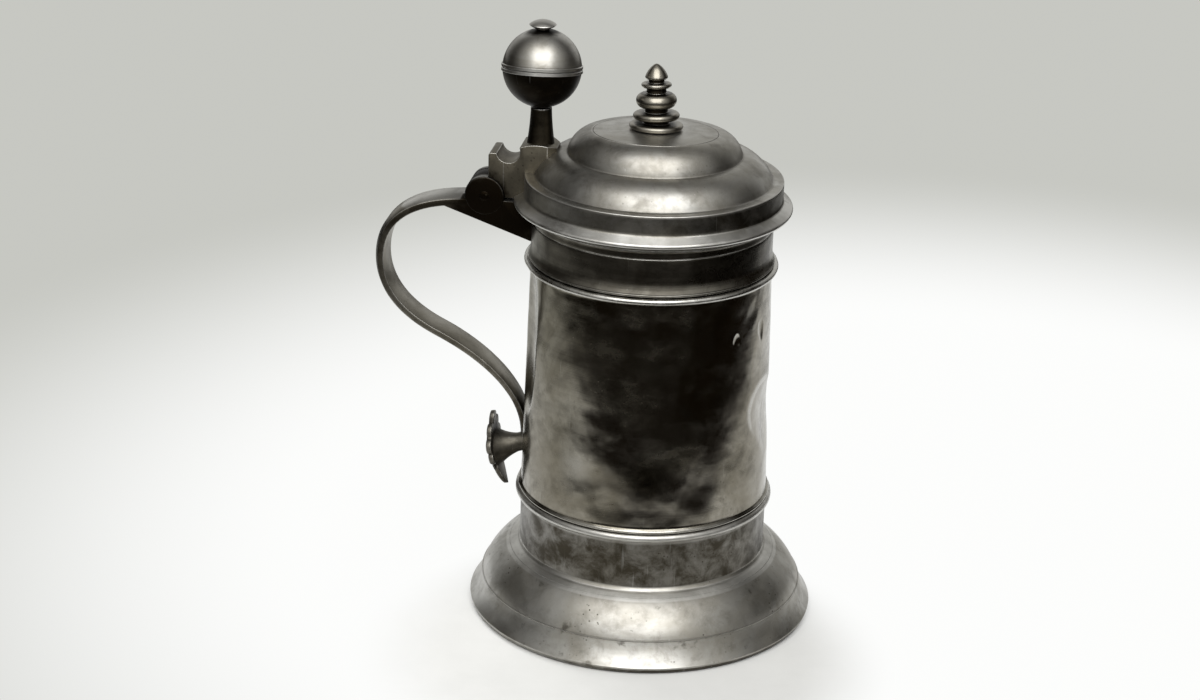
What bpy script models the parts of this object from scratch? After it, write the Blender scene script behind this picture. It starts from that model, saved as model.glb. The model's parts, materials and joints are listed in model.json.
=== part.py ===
"""Lidded pewter tankard with a strap handle and a ball thumbpiece.

The vessel is turned about a vertical axis, the handle points to -X and the lid hinge lies along Y.
Lengths are in metres. Profiles are written as (radius, height) about the axis of the drum, and
side outlines as (x, z) in the same drum frame, with the table at height zero.
"""
import math

import bmesh
import bpy
from mathutils import Matrix, Vector

# Clearances
SEAT_GAP = 0.0003
KNUCKLE_GAP = 0.0004
PIN_GAP = 0.0003

# Foot and the band above it: heights stack up from the table
WALL = 0.0026
FOOT_RADIUS = 0.0800
FOOT_LAND = 0.0050
FOOT_EDGE_HEIGHT = 0.0030
FOOT_EDGE_UNDERCUT = 0.0008
FOOT_HEIGHT = 0.0300
FOOT_SCRIBE_HEIGHT = 0.0140
FOOT_SCRIBE_INSET = 0.0058
FOOT_SHOULDER = 0.0022
SHOULDER_HOLLOW = 0.0005
FLARE_SWELL = 0.0021
EDGE_SWELL = 0.0005
BAND_LENGTH = 0.0282
FLOOR_THICKNESS = 0.0022
FLOOR_LEDGE = 0.0016
FLOOR_LEDGE_DEPTH = 0.0024
FLOOR_DROP = 0.0010

# Drum and collar, lapped at the seams below the bead rings
DRUM_LENGTH = 0.1114
DRUM_FOOT_RADIUS = 0.0570
DRUM_TOP_RADIUS = 0.0543
COLLAR_LENGTH = 0.0243
LIP_HEIGHT = 0.0036
LIP_PROUD = 0.0012
LIP_EDGE = 0.0006
LOWER_BEAD_RADIUS = 0.0018
LOWER_BEAD_PROUD = 0.0024
UPPER_BEAD_RADIUS = 0.0014
UPPER_BEAD_PROUD = 0.0029
RIDGE_RADIUS = 0.0008
BEAD_NECK = 0.0005
LAP = 0.0026

# Lid: radii step in and heights step up from the rim of the vessel
FLANGE_OVERHANG = 0.0069
FLANGE_EDGE_RADIUS = 0.0012
FLANGE_RISE = 0.0047
LID_BAND_INSET = 0.0045
LID_BAND_HEIGHT = 0.0136
LEDGE_WIDTH = 0.0047
LEDGE_EDGE = 0.0004
STEP_WIDTH = 0.0141
STEP_RISE = 0.0109
STEP_SWELL = 0.0024
DOME_WIDTH = 0.0107
DOME_RISE = 0.0095
DOME_SWELL = 0.0024
CROWN_RISE = 0.0012
LID_WALL = 0.0022

# Finial: turned knob with a tenon through the lid
FINIAL_SEAT_RADIUS = 0.0120
FINIAL_TENON_RADIUS = 0.0030
FINIAL_BASE_HEIGHT = 0.0026
FINIAL_RING_RADIUS = 0.0103
FINIAL_RING_HEIGHT = 0.0030
FINIAL_BULB_RADIUS = 0.0090
FINIAL_BULB_HEIGHT = 0.0066
FINIAL_COLLAR_RADIUS = 0.0067
FINIAL_COLLAR_HEIGHT = 0.0020
FINIAL_TIP_RADIUS = 0.0048
FINIAL_TIP_HEIGHT = 0.0081
FINIAL_TIP_SHOULDER = 0.0019
FINIAL_TIP_SWELL = 0.0006
FINIAL_NECK_RADIUS = 0.0046
FINIAL_NECK_HEIGHT = 0.0017

# Hinge: three knuckles on one pin
HINGE_WIDTH = 0.0176
KNUCKLE_RADIUS = 0.0090
KNUCKLE_FROM_FLANGE = 0.0039
HINGE_ABOVE_RIM = 0.0016
OUTER_KNUCKLE_LENGTH = 0.0042
PIN_RADIUS = 0.0022
PIN_HEAD = 0.0004

# Lever on the lid, from the hinge to the thumbpiece
LEVER_WIDTH = 0.0172
LUG_SETBACK = 0.0017
LUG_HEIGHT = 0.0203
LUG_THICKNESS = 0.0036
LUG_ROUND = 0.0012
LUG_FOOT_GAP = 0.0012
SCOOP_DEPTH = 0.0058
THUMB_INSET = 0.0064
BLOCK_HEIGHT = 0.0128
BLOCK_HALF_LENGTH = 0.0082
BLOCK_ARCH = 0.0016

# Thumbpiece: stem with a tenon, hollow ball in two halves, button
STEM_FOOT_RADIUS = 0.0063
STEM_NECK_RADIUS = 0.0047
STEM_HOLLOW = 0.0003
STEM_LENGTH = 0.0152
TENON_RADIUS = 0.0020
BALL_RADIUS = 0.0176
BALL_WALL = 0.0016
BALL_BEAD_RADIUS = 0.0008
BUTTON_RADIUS = 0.0061
BUTTON_NECK_RADIUS = 0.0036
BUTTON_NECK_HEIGHT = 0.0012
BUTTON_RIM_HEIGHT = 0.0011
BUTTON_HEIGHT = 0.0032
BUTTON_SWELL = 0.0006

# Handle: a strap that swings out from the hinge bracket, turns in and lies down along the drum
HANDLE_REACH = 0.1260
STRAP_WIDTH = 0.0172
STRAP_BELLY_WIDTH = 0.0167
STRAP_BEND_WIDTH = 0.0157
STRAP_FOOT_WIDTH = 0.0132
STRAP_CROWN_WIDTH = 0.0086
STRAP_THICKNESS = 0.0045
STRAP_EDGE = 0.0030
STRAP_DROP = 0.0006
BELLY_DROP = 0.0335
BEND_DROP = 0.0685
BEND_FROM_DRUM = 0.0414
BEND_SLOPE = math.radians(25.5)
STRAP_FOOT_HEIGHT = 0.0208
STRAP_FOOT_PROUD = 0.0012
BRACKET_FOOT_DROP = 0.0199
BRACKET_TIP_LENGTH = 0.0215
BRACKET_TIP_DROP = 0.0050
BRACKET_TOP_DROP = 0.0018

# How far the strap's curve runs straight at each knot, as shares of the span to the next knot
ROOT_PULL = 0.87
BELLY_PULL = (0.40, 0.44)
BEND_PULL = (0.69, 0.43)
FOOT_PULL = 0.50

# Tail below the strap: a flared arm with a scalloped shield, whose lobes are (across, up, radius)
TAIL_LENGTH = 0.0144
TAIL_ARM_RADIUS = 0.0044
TAIL_ARM_LENGTH = 0.0045
TAIL_FLARE_RADIUS = 0.0108
TAIL_FLARE_HOLLOW = 0.0017
TAIL_LEAN = math.radians(8.5)
SHIELD_THICKNESS = 0.0024
SHIELD_TOP_LOBE = (0.0000, 0.0124, 0.0035)
SHIELD_SIDE_LOBES = ((0.0060, 0.0080, 0.0036), (0.0096, 0.0020, 0.0037), (0.0080, -0.0042, 0.0034))
LOBE_SPREAD = 75
SHIELD_TONGUE_WIDTH = 0.0070
SHIELD_TONGUE_LENGTH = 0.0131
SHIELD_TONGUE_SWELL = 0.0012

# Fineness of the round forms
TURN_STEPS = 40
SMALL_STEPS = 24
STEM_SIDES = 16
ARCH_SIDES = 96
STRAP_STEPS = 10
SHARP_ANGLE = math.radians(30)
WELD = 0.00001

# Positions worked out from the sizes
LOWER_SEAM = FOOT_HEIGHT + BAND_LENGTH
UPPER_SEAM = LOWER_SEAM + DRUM_LENGTH
RIM_HEIGHT = UPPER_SEAM + COLLAR_LENGTH
LIP_RADIUS = DRUM_TOP_RADIUS + LIP_PROUD
FLANGE_RADIUS = LIP_RADIUS + FLANGE_OVERHANG
LID_BOTTOM = RIM_HEIGHT + SEAT_GAP
LEDGE_RADIUS = FLANGE_RADIUS - LID_BAND_INSET
LEDGE_HEIGHT = LID_BOTTOM + LID_BAND_HEIGHT
STEP_FOOT_RADIUS = LEDGE_RADIUS - LEDGE_WIDTH
VALLEY_RADIUS = STEP_FOOT_RADIUS - STEP_WIDTH
VALLEY_HEIGHT = LEDGE_HEIGHT + STEP_RISE
DISC_RADIUS = VALLEY_RADIUS - DOME_WIDTH
DISC_HEIGHT = VALLEY_HEIGHT + DOME_RISE
CROWN_HEIGHT = DISC_HEIGHT + CROWN_RISE
HINGE_X = -(FLANGE_RADIUS + KNUCKLE_FROM_FLANGE + KNUCKLE_RADIUS)
HINGE_Z = RIM_HEIGHT + HINGE_ABOVE_RIM
MIDDLE_KNUCKLE_LENGTH = HINGE_WIDTH - 2 * (OUTER_KNUCKLE_LENGTH + KNUCKLE_GAP)
THUMB_X = -(LEDGE_RADIUS - THUMB_INSET)
BLOCK_TOP = LEDGE_HEIGHT + BLOCK_HEIGHT
BALL_HEIGHT = BLOCK_TOP + SEAT_GAP + STEM_LENGTH + SEAT_GAP + BALL_RADIUS
STRAP_FOOT_Z = LOWER_SEAM + STRAP_FOOT_HEIGHT
AXIS_X = (HANDLE_REACH - FOOT_RADIUS) / 2
SIDE_FRAME = Matrix.Rotation(math.radians(90), 4, "X")


def drum_radius(height):
    """Outer radius of the tapered drum wall at a height."""
    share = (height - LOWER_SEAM) / DRUM_LENGTH
    return DRUM_FOOT_RADIUS + share * (DRUM_TOP_RADIUS - DRUM_FOOT_RADIUS)


def arc_between(start, end, rise, count):
    """Points after start on a circular arc to end, which rises to the left of the chord by rise."""
    start, end = Vector(start), Vector(end)
    chord = end - start
    left = Vector((-chord.y, chord.x)).normalized()
    radius = (chord.length_squared / 4 + rise * rise) / (2 * rise)
    centre = (start + end) / 2 + left * (rise - radius)
    sweep = -4 * math.atan(2 * rise / chord.length)
    turns = (Matrix.Rotation(sweep * step / count, 2) for step in range(1, count + 1))
    return [tuple(centre + turned @ (start - centre)) for turned in turns]


def arc_about(centre, radius, first, last, count):
    """Points on a circle from one angle to another, in degrees, both ends included."""
    angles = (math.radians(first + (last - first) * step / count) for step in range(count + 1))
    return [(centre[0] + radius * math.cos(a), centre[1] + radius * math.sin(a)) for a in angles]


def grown(points, gap):
    """A profile that runs downwards, moved outwards by a gap, or inwards by a negative one."""
    points = [Vector(point) for point in points]
    moved = []
    for index, point in enumerate(points):
        before = points[max(index - 1, 0)]
        after = points[min(index + 1, len(points) - 1)]
        normals = []
        for first, second in ((before, point), (point, after)):
            edge = second - first
            if edge.length:
                normals.append(Vector((-edge.y, edge.x)).normalized())
        mean = sum(normals, Vector((0, 0))).normalized()
        moved.append(tuple(point + mean * gap / max(mean.dot(normals[0]), 0.5)))
    return moved


def clear_scene():
    for item in list(bpy.data.objects):
        bpy.data.objects.remove(item)


def new_collection(name):
    collection = bpy.data.collections.new(name)
    bpy.context.scene.collection.children.link(collection)
    return collection


def new_empty(name, location, parent=None):
    empty = bpy.data.objects.new(name, None)
    empty.empty_display_size = KNUCKLE_RADIUS
    empty.location = location
    empty.parent = parent
    PARTS.objects.link(empty)
    return empty


def pewter(name, grey, roughness):
    """A metal finish for one piece."""
    material = bpy.data.materials.new(name + "_pewter")
    material.use_nodes = True
    shader = material.node_tree.nodes["Principled BSDF"]
    shader.inputs["Base Color"].default_value = (grey, grey, grey * 0.97, 1)
    shader.inputs["Metallic"].default_value = 1.0
    shader.inputs["Roughness"].default_value = roughness
    return material


def add_part(name, mesh, parent, grey, roughness):
    """A visible piece. Meshes are written in the drum frame, so the parent's offset is taken back."""
    part = bpy.data.objects.new(name, mesh)
    part.parent = parent
    if parent == LID_AXIS:
        part.location = -LID_AXIS.location
    mesh.materials.append(pewter(name, grey, roughness))
    PARTS.objects.link(part)
    return part


def add_helper(name, mesh):
    """A shape that only cuts or joins the pieces."""
    helper = bpy.data.objects.new(name, mesh)
    helper.parent = MUG_AXIS
    helper.hide_render = True
    helper.display_type = "WIRE"
    HELPERS.objects.link(helper)
    return helper


def profile_mesh(name, profile, closed):
    """An open or closed chain of edges in the XZ plane."""
    mesh = bpy.data.meshes.new(name)
    shape = bmesh.new()
    corners = [shape.verts.new((radius, 0, height)) for radius, height in profile]
    for first, second in zip(corners, corners[1:]):
        shape.edges.new((first, second))
    if closed:
        shape.edges.new((corners[-1], corners[0]))
    shape.to_mesh(mesh)
    shape.free()
    return mesh


def turn(item, steps):
    """Turns a profile about the object's own vertical axis."""
    screw = item.modifiers.new("turn", "SCREW")
    screw.steps = steps
    screw.render_steps = steps
    screw.use_merge_vertices = True
    screw.merge_threshold = WELD
    screw.use_smooth_shade = True
    return item


def combine(item, operation, other):
    boolean = item.modifiers.new(operation.lower() + "_" + other.name, "BOOLEAN")
    boolean.operation = operation
    boolean.object = other


def curve_to_mesh(curve_object, name):
    """The evaluated curve as one welded mesh, with its object removed."""
    bpy.context.view_layer.update()
    evaluated = curve_object.evaluated_get(bpy.context.evaluated_depsgraph_get())
    mesh = bpy.data.meshes.new_from_object(evaluated)
    mesh.name = name
    mesh.transform(curve_object.matrix_world)
    shape = bmesh.new()
    shape.from_mesh(mesh)
    bmesh.ops.remove_doubles(shape, verts=shape.verts, dist=WELD)
    bmesh.ops.recalc_face_normals(shape, faces=shape.faces)
    shape.to_mesh(mesh)
    shape.free()
    mesh.materials.clear()
    mesh.shade_smooth()
    mesh.set_sharp_from_angle(angle=SHARP_ANGLE)
    bpy.data.objects.remove(curve_object)
    return mesh


def slab_mesh(name, outline, thickness, frame):
    """A flat outline of the given thickness, centred on the plane that a frame puts it in."""
    curve = bpy.data.curves.new(name, "CURVE")
    curve.dimensions = "2D"
    curve.fill_mode = "BOTH"
    curve.extrude = thickness / 2
    spline = curve.splines.new("POLY")
    spline.points.add(len(outline) - 1)
    for point, (across, up) in zip(spline.points, outline):
        point.co = (across, up, 0, 1)
    spline.use_cyclic_u = True
    slab = bpy.data.objects.new(name, curve)
    slab.matrix_world = frame
    HELPERS.objects.link(slab)
    return curve_to_mesh(slab, name)


def barrel_mesh(name, radius, length, middle, steps=TURN_STEPS):
    """A cylinder along the hinge axis, centred at a distance along it."""
    mesh = bpy.data.meshes.new(name)
    shape = bmesh.new()
    frame = Matrix.Translation((HINGE_X, middle, HINGE_Z)) @ Matrix.Rotation(math.radians(90), 4, "X")
    size = {"radius1": radius, "radius2": radius, "depth": length}
    bmesh.ops.create_cone(shape, cap_ends=True, segments=steps, matrix=frame, **size)
    shape.to_mesh(mesh)
    shape.free()
    mesh.shade_smooth()
    mesh.set_sharp_from_angle(angle=SHARP_ANGLE)
    return mesh


def flare_outside():
    """Swelling side of the foot, from its shoulder down to the scribed line."""
    shoulder = (DRUM_FOOT_RADIUS + FOOT_SHOULDER, FOOT_HEIGHT)
    scribe = (FOOT_RADIUS - FOOT_SCRIBE_INSET, FOOT_SCRIBE_HEIGHT)
    return [shoulder] + arc_between(shoulder, scribe, FLARE_SWELL, 6)


def foot_outside():
    """Outer side of the foot, from its seam with the drum down to the table."""
    bead_centre = (DRUM_FOOT_RADIUS + LOWER_BEAD_PROUD - LOWER_BEAD_RADIUS, LOWER_SEAM - LOWER_BEAD_RADIUS)
    band_foot = (DRUM_FOOT_RADIUS, FOOT_HEIGHT + FOOT_SHOULDER)
    flare = flare_outside()
    points = arc_about(bead_centre, LOWER_BEAD_RADIUS, 90, -80, 5)
    points.append((DRUM_FOOT_RADIUS, LOWER_SEAM - 2 * LOWER_BEAD_RADIUS - BEAD_NECK))
    points.append(band_foot)
    points += arc_between(band_foot, flare[0], -SHOULDER_HOLLOW, 3)
    points += flare[1:]
    points += arc_between(flare[-1], (FOOT_RADIUS, FOOT_EDGE_HEIGHT), EDGE_SWELL, 2)
    points.append((FOOT_RADIUS - FOOT_EDGE_UNDERCUT, 0))
    return points


def drum_outside():
    """Outer side of the drum, with the upper bead at its top and a fine ridge at its foot."""
    bead_height = UPPER_SEAM - UPPER_BEAD_RADIUS
    bead_centre = (drum_radius(bead_height) + UPPER_BEAD_PROUD - UPPER_BEAD_RADIUS, bead_height)
    ridge_centre = (DRUM_FOOT_RADIUS + RIDGE_RADIUS / 2, LOWER_SEAM + SEAT_GAP + RIDGE_RADIUS)
    under_bead = UPPER_SEAM - 2 * UPPER_BEAD_RADIUS - BEAD_NECK
    over_ridge = LOWER_SEAM + SEAT_GAP + 2 * RIDGE_RADIUS + BEAD_NECK
    points = arc_about(bead_centre, UPPER_BEAD_RADIUS, 90, -80, 5)
    points.append((drum_radius(under_bead), under_bead))
    points.append((drum_radius(over_ridge), over_ridge))
    points += arc_about(ridge_centre, RIDGE_RADIUS, 60, -90, 3)
    return points


def collar_outside():
    """Outer side of the collar, from the rim down past the lip to the ridge above its seam."""
    lip_foot = RIM_HEIGHT - LIP_HEIGHT
    ridge_centre = (DRUM_TOP_RADIUS + RIDGE_RADIUS / 2, UPPER_SEAM + SEAT_GAP + RIDGE_RADIUS)
    points = [(LIP_RADIUS - LIP_EDGE, RIM_HEIGHT), (LIP_RADIUS, RIM_HEIGHT - LIP_EDGE)]
    points += [(LIP_RADIUS, lip_foot + LIP_EDGE), (DRUM_TOP_RADIUS, lip_foot)]
    points.append((DRUM_TOP_RADIUS, UPPER_SEAM + SEAT_GAP + 2 * RIDGE_RADIUS + BEAD_NECK))
    points += arc_about(ridge_centre, RIDGE_RADIUS, 60, -90, 3)
    return points


def dome_outside():
    """Stepped top of the lid, from the finial's hole down to the ledge."""
    points = [(FINIAL_TENON_RADIUS + SEAT_GAP, CROWN_HEIGHT), (FINIAL_SEAT_RADIUS + SEAT_GAP, CROWN_HEIGHT)]
    points.append((DISC_RADIUS, DISC_HEIGHT))
    points += arc_between(points[-1], (VALLEY_RADIUS, VALLEY_HEIGHT), DOME_SWELL, 5)
    points += arc_between(points[-1], (STEP_FOOT_RADIUS, LEDGE_HEIGHT), STEP_SWELL, 5)
    return points


def lid_outside():
    """Outer side of the lid, from the finial's hole down to the underside of the flange."""
    edge_centre = (FLANGE_RADIUS - FLANGE_EDGE_RADIUS, LID_BOTTOM + FLANGE_EDGE_RADIUS)
    points = dome_outside()
    points += [(LEDGE_RADIUS - LEDGE_EDGE, LEDGE_HEIGHT), (LEDGE_RADIUS, LEDGE_HEIGHT - LEDGE_EDGE)]
    points.append((LEDGE_RADIUS, LID_BOTTOM + FLANGE_RISE))
    points += arc_about(edge_centre, FLANGE_EDGE_RADIUS, 55, -90, 5)
    return points


def lid_inside():
    """Hollow side of the lid, from the mouth up to the finial's hole, in half as many steps as outside."""
    mouth = DRUM_TOP_RADIUS - WALL / 2
    hollow = grown(dome_outside(), -LID_WALL)
    return [(mouth, LID_BOTTOM), (mouth, LEDGE_HEIGHT - 2 * LID_WALL)] + hollow[::-2]


def add_foot():
    inner = DRUM_FOOT_RADIUS - WALL
    middle = inner + WALL / 2
    ledge = inner - FLOOR_LEDGE
    ledge_top = FOOT_HEIGHT - FLOOR_DROP
    inside = [(FOOT_RADIUS - FOOT_LAND, 0)] + grown(flare_outside(), -WALL)[::-2]
    inside += [(ledge, ledge_top - FLOOR_LEDGE_DEPTH), (ledge, ledge_top), (inner, ledge_top)]
    inside += [(inner, LOWER_SEAM - LAP), (middle, LOWER_SEAM - LAP), (middle, LOWER_SEAM)]
    mesh = profile_mesh("foot", foot_outside() + inside, closed=True)
    return turn(add_part("foot", mesh, MUG_AXIS, 0.46, 0.34), TURN_STEPS)


def add_floor():
    radius = DRUM_FOOT_RADIUS - WALL - SEAT_GAP
    bottom = FOOT_HEIGHT - FLOOR_DROP + SEAT_GAP
    top = bottom + FLOOR_THICKNESS
    profile = [(0, top), (radius - SEAT_GAP, top), (radius, top - SEAT_GAP), (radius, bottom), (0, bottom)]
    mesh = profile_mesh("floor_disc", profile, closed=False)
    return turn(add_part("floor_disc", mesh, MUG_AXIS, 0.36, 0.45), TURN_STEPS)


def add_drum():
    inner_foot = DRUM_FOOT_RADIUS - WALL
    inner_top = DRUM_TOP_RADIUS - WALL
    spigot = inner_foot + WALL / 2 - SEAT_GAP
    socket = inner_top + WALL / 2
    spigot_end = LOWER_SEAM - LAP + SEAT_GAP
    inside = [(spigot, LOWER_SEAM + SEAT_GAP), (spigot, spigot_end), (inner_foot, spigot_end)]
    inside += [(inner_top, UPPER_SEAM - LAP), (socket, UPPER_SEAM - LAP), (socket, UPPER_SEAM)]
    mesh = profile_mesh("drum", drum_outside() + inside, closed=True)
    return turn(add_part("drum", mesh, MUG_AXIS, 0.40, 0.38), TURN_STEPS)


def add_collar():
    inner = DRUM_TOP_RADIUS - WALL
    spigot = inner + WALL / 2 - SEAT_GAP
    spigot_end = UPPER_SEAM - LAP + SEAT_GAP
    inside = [(spigot, UPPER_SEAM + SEAT_GAP), (spigot, spigot_end), (inner, spigot_end), (inner, RIM_HEIGHT)]
    mesh = profile_mesh("lip_collar", collar_outside() + inside, closed=True)
    return turn(add_part("lip_collar", mesh, MUG_AXIS, 0.40, 0.38), TURN_STEPS)


def add_lid():
    mesh = profile_mesh("lid", lid_outside() + lid_inside(), closed=True)
    return turn(add_part("lid", mesh, LID_AXIS, 0.48, 0.32), TURN_STEPS)


def add_finial():
    """Turned knob: beads of falling size stand on a base ring, with necks between them."""
    beads = (
        (FINIAL_SEAT_RADIUS, FINIAL_BASE_HEIGHT, 4),
        (FINIAL_RING_RADIUS, FINIAL_RING_HEIGHT, 4),
        (FINIAL_BULB_RADIUS, FINIAL_BULB_HEIGHT, 6),
        (FINIAL_COLLAR_RADIUS, FINIAL_COLLAR_HEIGHT, 4),
    )
    bottom = CROWN_HEIGHT + SEAT_GAP
    tenon_end = CROWN_HEIGHT - LID_WALL
    rising = [(0, tenon_end), (FINIAL_TENON_RADIUS, tenon_end), (FINIAL_TENON_RADIUS, bottom)]
    level = bottom
    for radius, height, count in beads:
        half = height / 2
        rising += arc_about((radius - half, level + half), half, -90, 90, count)
        level += height
        neck = min(radius - half, FINIAL_NECK_RADIUS)
        rising += [(neck, level), (neck, level + FINIAL_NECK_HEIGHT)]
        level += FINIAL_NECK_HEIGHT
    widest = (FINIAL_TIP_RADIUS, level + FINIAL_TIP_SHOULDER)
    rising += arc_between(rising[-1], widest, -FINIAL_TIP_SWELL, 2)
    rising += arc_between(widest, (0, level + FINIAL_TIP_HEIGHT), -FINIAL_TIP_SWELL, 4)
    mesh = profile_mesh("lid_finial", rising[::-1], closed=False)
    return turn(add_part("lid_finial", mesh, LID_AXIS, 0.30, 0.30), SMALL_STEPS)


def lever_outline():
    """Side view of the lever: lug over the hinge, scoop for the thumb, arched block under the stem."""
    lug_left = HINGE_X + LUG_SETBACK
    lug_top = HINGE_Z + LUG_HEIGHT
    lug_right = (lug_left + LUG_THICKNESS, lug_top)
    shoulder = BLOCK_TOP - BLOCK_ARCH
    block_left = (THUMB_X - BLOCK_HALF_LENGTH, shoulder)
    block_right = (THUMB_X + BLOCK_HALF_LENGTH, shoulder)
    low = LID_BOTTOM + FLANGE_EDGE_RADIUS
    points = [(lug_left, HINGE_Z + KNUCKLE_RADIUS + LUG_FOOT_GAP)]
    points += arc_about((lug_left + LUG_ROUND, lug_top - LUG_ROUND), LUG_ROUND, 180, 90, 2)
    points.append(lug_right)
    points += arc_between(lug_right, block_left, -SCOOP_DEPTH, 10)
    points += arc_between(block_left, block_right, BLOCK_ARCH, 8)
    points += [(block_right[0], low), (HINGE_X, low)]
    return points


def add_lever():
    mesh = slab_mesh("lid_lever", lever_outline(), LEVER_WIDTH, SIDE_FRAME)
    lever = add_part("lid_lever", mesh, LID_AXIS, 0.24, 0.42)
    barrel = barrel_mesh("lever_barrel", KNUCKLE_RADIUS, HINGE_WIDTH, 0)
    combine(lever, "UNION", add_helper("lever_barrel", barrel))
    outer_middle = (HINGE_WIDTH - OUTER_KNUCKLE_LENGTH) / 2
    clear_radius = KNUCKLE_RADIUS + KNUCKLE_GAP
    clear_length = OUTER_KNUCKLE_LENGTH + 2 * KNUCKLE_GAP
    for side, name in ((-1, "near"), (1, "far")):
        space = barrel_mesh(name + "_knuckle_space", clear_radius, clear_length, side * outer_middle)
        combine(lever, "DIFFERENCE", add_helper(name + "_knuckle_space", space))
    envelope = profile_mesh("lid_envelope", lid_envelope(), closed=False)
    combine(lever, "DIFFERENCE", turn(add_helper("lid_envelope", envelope), TURN_STEPS))
    combine(lever, "DIFFERENCE", PIN_BORE)
    return lever


def lid_envelope():
    """The closed lid as one solid, a seat gap larger all round."""
    outside = grown(lid_outside()[1:], SEAT_GAP)
    return [(0, outside[0][1])] + outside + [(0, outside[-1][1])]


def add_stem():
    """Tapering stem with a tenon that runs up through the ball."""
    foot = BLOCK_TOP - BLOCK_ARCH
    neck = BLOCK_TOP + SEAT_GAP + STEM_LENGTH
    tenon_end = BALL_HEIGHT + BALL_RADIUS + BUTTON_NECK_HEIGHT
    profile = [(0, tenon_end), (TENON_RADIUS, tenon_end), (TENON_RADIUS, neck), (STEM_NECK_RADIUS, neck)]
    profile += arc_between(profile[-1], (STEM_FOOT_RADIUS, foot), -STEM_HOLLOW, 3)
    profile.append((0, foot))
    stem = add_part("thumb_stem", profile_mesh("thumb_stem", profile, closed=False), LID_AXIS, 0.16, 0.35)
    stem.location.x += THUMB_X
    turn(stem, STEM_SIDES)
    arch_radius = (BLOCK_HALF_LENGTH ** 2 + BLOCK_ARCH ** 2) / (2 * BLOCK_ARCH)
    arch = bpy.data.meshes.new("block_arch")
    shape = bmesh.new()
    frame = Matrix.Translation((THUMB_X, 0, BLOCK_TOP - arch_radius)) @ SIDE_FRAME
    size = {"radius1": arch_radius + SEAT_GAP, "radius2": arch_radius + SEAT_GAP, "depth": LEVER_WIDTH}
    bmesh.ops.create_cone(shape, cap_ends=True, segments=ARCH_SIDES, matrix=frame, **size)
    shape.to_mesh(arch)
    shape.free()
    combine(stem, "DIFFERENCE", add_helper("block_arch", arch))
    return stem


def half_ball(upward):
    """One hollow half of the ball, with a bead at its open edge and a hole for the tenon."""
    hole = TENON_RADIUS + SEAT_GAP
    seam = SEAT_GAP / 2
    inner = BALL_RADIUS - BALL_WALL
    bead_centre = (BALL_RADIUS, seam + BALL_BEAD_RADIUS)
    above_bead = math.degrees(math.asin((seam + 2 * BALL_BEAD_RADIUS) / BALL_RADIUS))
    outside = arc_about((0, 0), BALL_RADIUS, math.degrees(math.acos(hole / BALL_RADIUS)), above_bead, 7)
    outside += arc_about(bead_centre, BALL_BEAD_RADIUS, 60, -90, 4)
    inside = [(inner, seam)] + arc_about((0, 0), inner, above_bead, math.degrees(math.acos(hole / inner)), 5)
    points = [(radius, BALL_HEIGHT + height) for radius, height in outside + inside]
    if upward:
        return points
    return [(radius, 2 * BALL_HEIGHT - height) for radius, height in points[::-1]]


def add_ball():
    for name, upward, grey in (("ball_upper_half", True, 0.44), ("ball_lower_half", False, 0.20)):
        mesh = profile_mesh(name, half_ball(upward), closed=True)
        half = turn(add_part(name, mesh, LID_AXIS, grey, 0.30), SMALL_STEPS)
        half.location.x += THUMB_X


def add_button():
    """Button that caps the tenon on top of the ball."""
    bottom = BALL_HEIGHT + BALL_RADIUS + SEAT_GAP
    cap = bottom + BUTTON_NECK_HEIGHT
    widest = (BUTTON_RADIUS, cap + BUTTON_RIM_HEIGHT)
    bore = TENON_RADIUS + SEAT_GAP
    profile = [(0, cap + BUTTON_HEIGHT)]
    profile += arc_between(profile[0], widest, BUTTON_SWELL, 4)
    profile += arc_between(widest, (BUTTON_NECK_RADIUS, cap), BUTTON_SWELL / 2, 3)
    profile += [(BUTTON_NECK_RADIUS, bottom), (bore, bottom), (bore, cap), (0, cap)]
    mesh = profile_mesh("ball_button", profile, closed=False)
    button = turn(add_part("ball_button", mesh, LID_AXIS, 0.46, 0.28), SMALL_STEPS)
    button.location.x += THUMB_X


def strap_section():
    """Guide for the strap: flat inside, upright edges and a bevelled crown outside."""
    half = STRAP_WIDTH / 2
    crown = STRAP_CROWN_WIDTH / 2
    inner = -STRAP_THICKNESS / 2
    edge = inner + STRAP_EDGE
    corners = [(-half, inner), (half, inner), (half, edge), (crown, -inner), (-crown, -inner), (-half, edge)]
    curve = bpy.data.curves.new("strap_section", "CURVE")
    curve.dimensions = "2D"
    spline = curve.splines.new("POLY")
    spline.points.add(len(corners) - 1)
    for point, (across, out) in zip(spline.points, corners):
        point.co = (across, out, 0, 1)
    spline.use_cyclic_u = True
    section = bpy.data.objects.new("strap_section", curve)
    HELPERS.objects.link(section)
    return section


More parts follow.
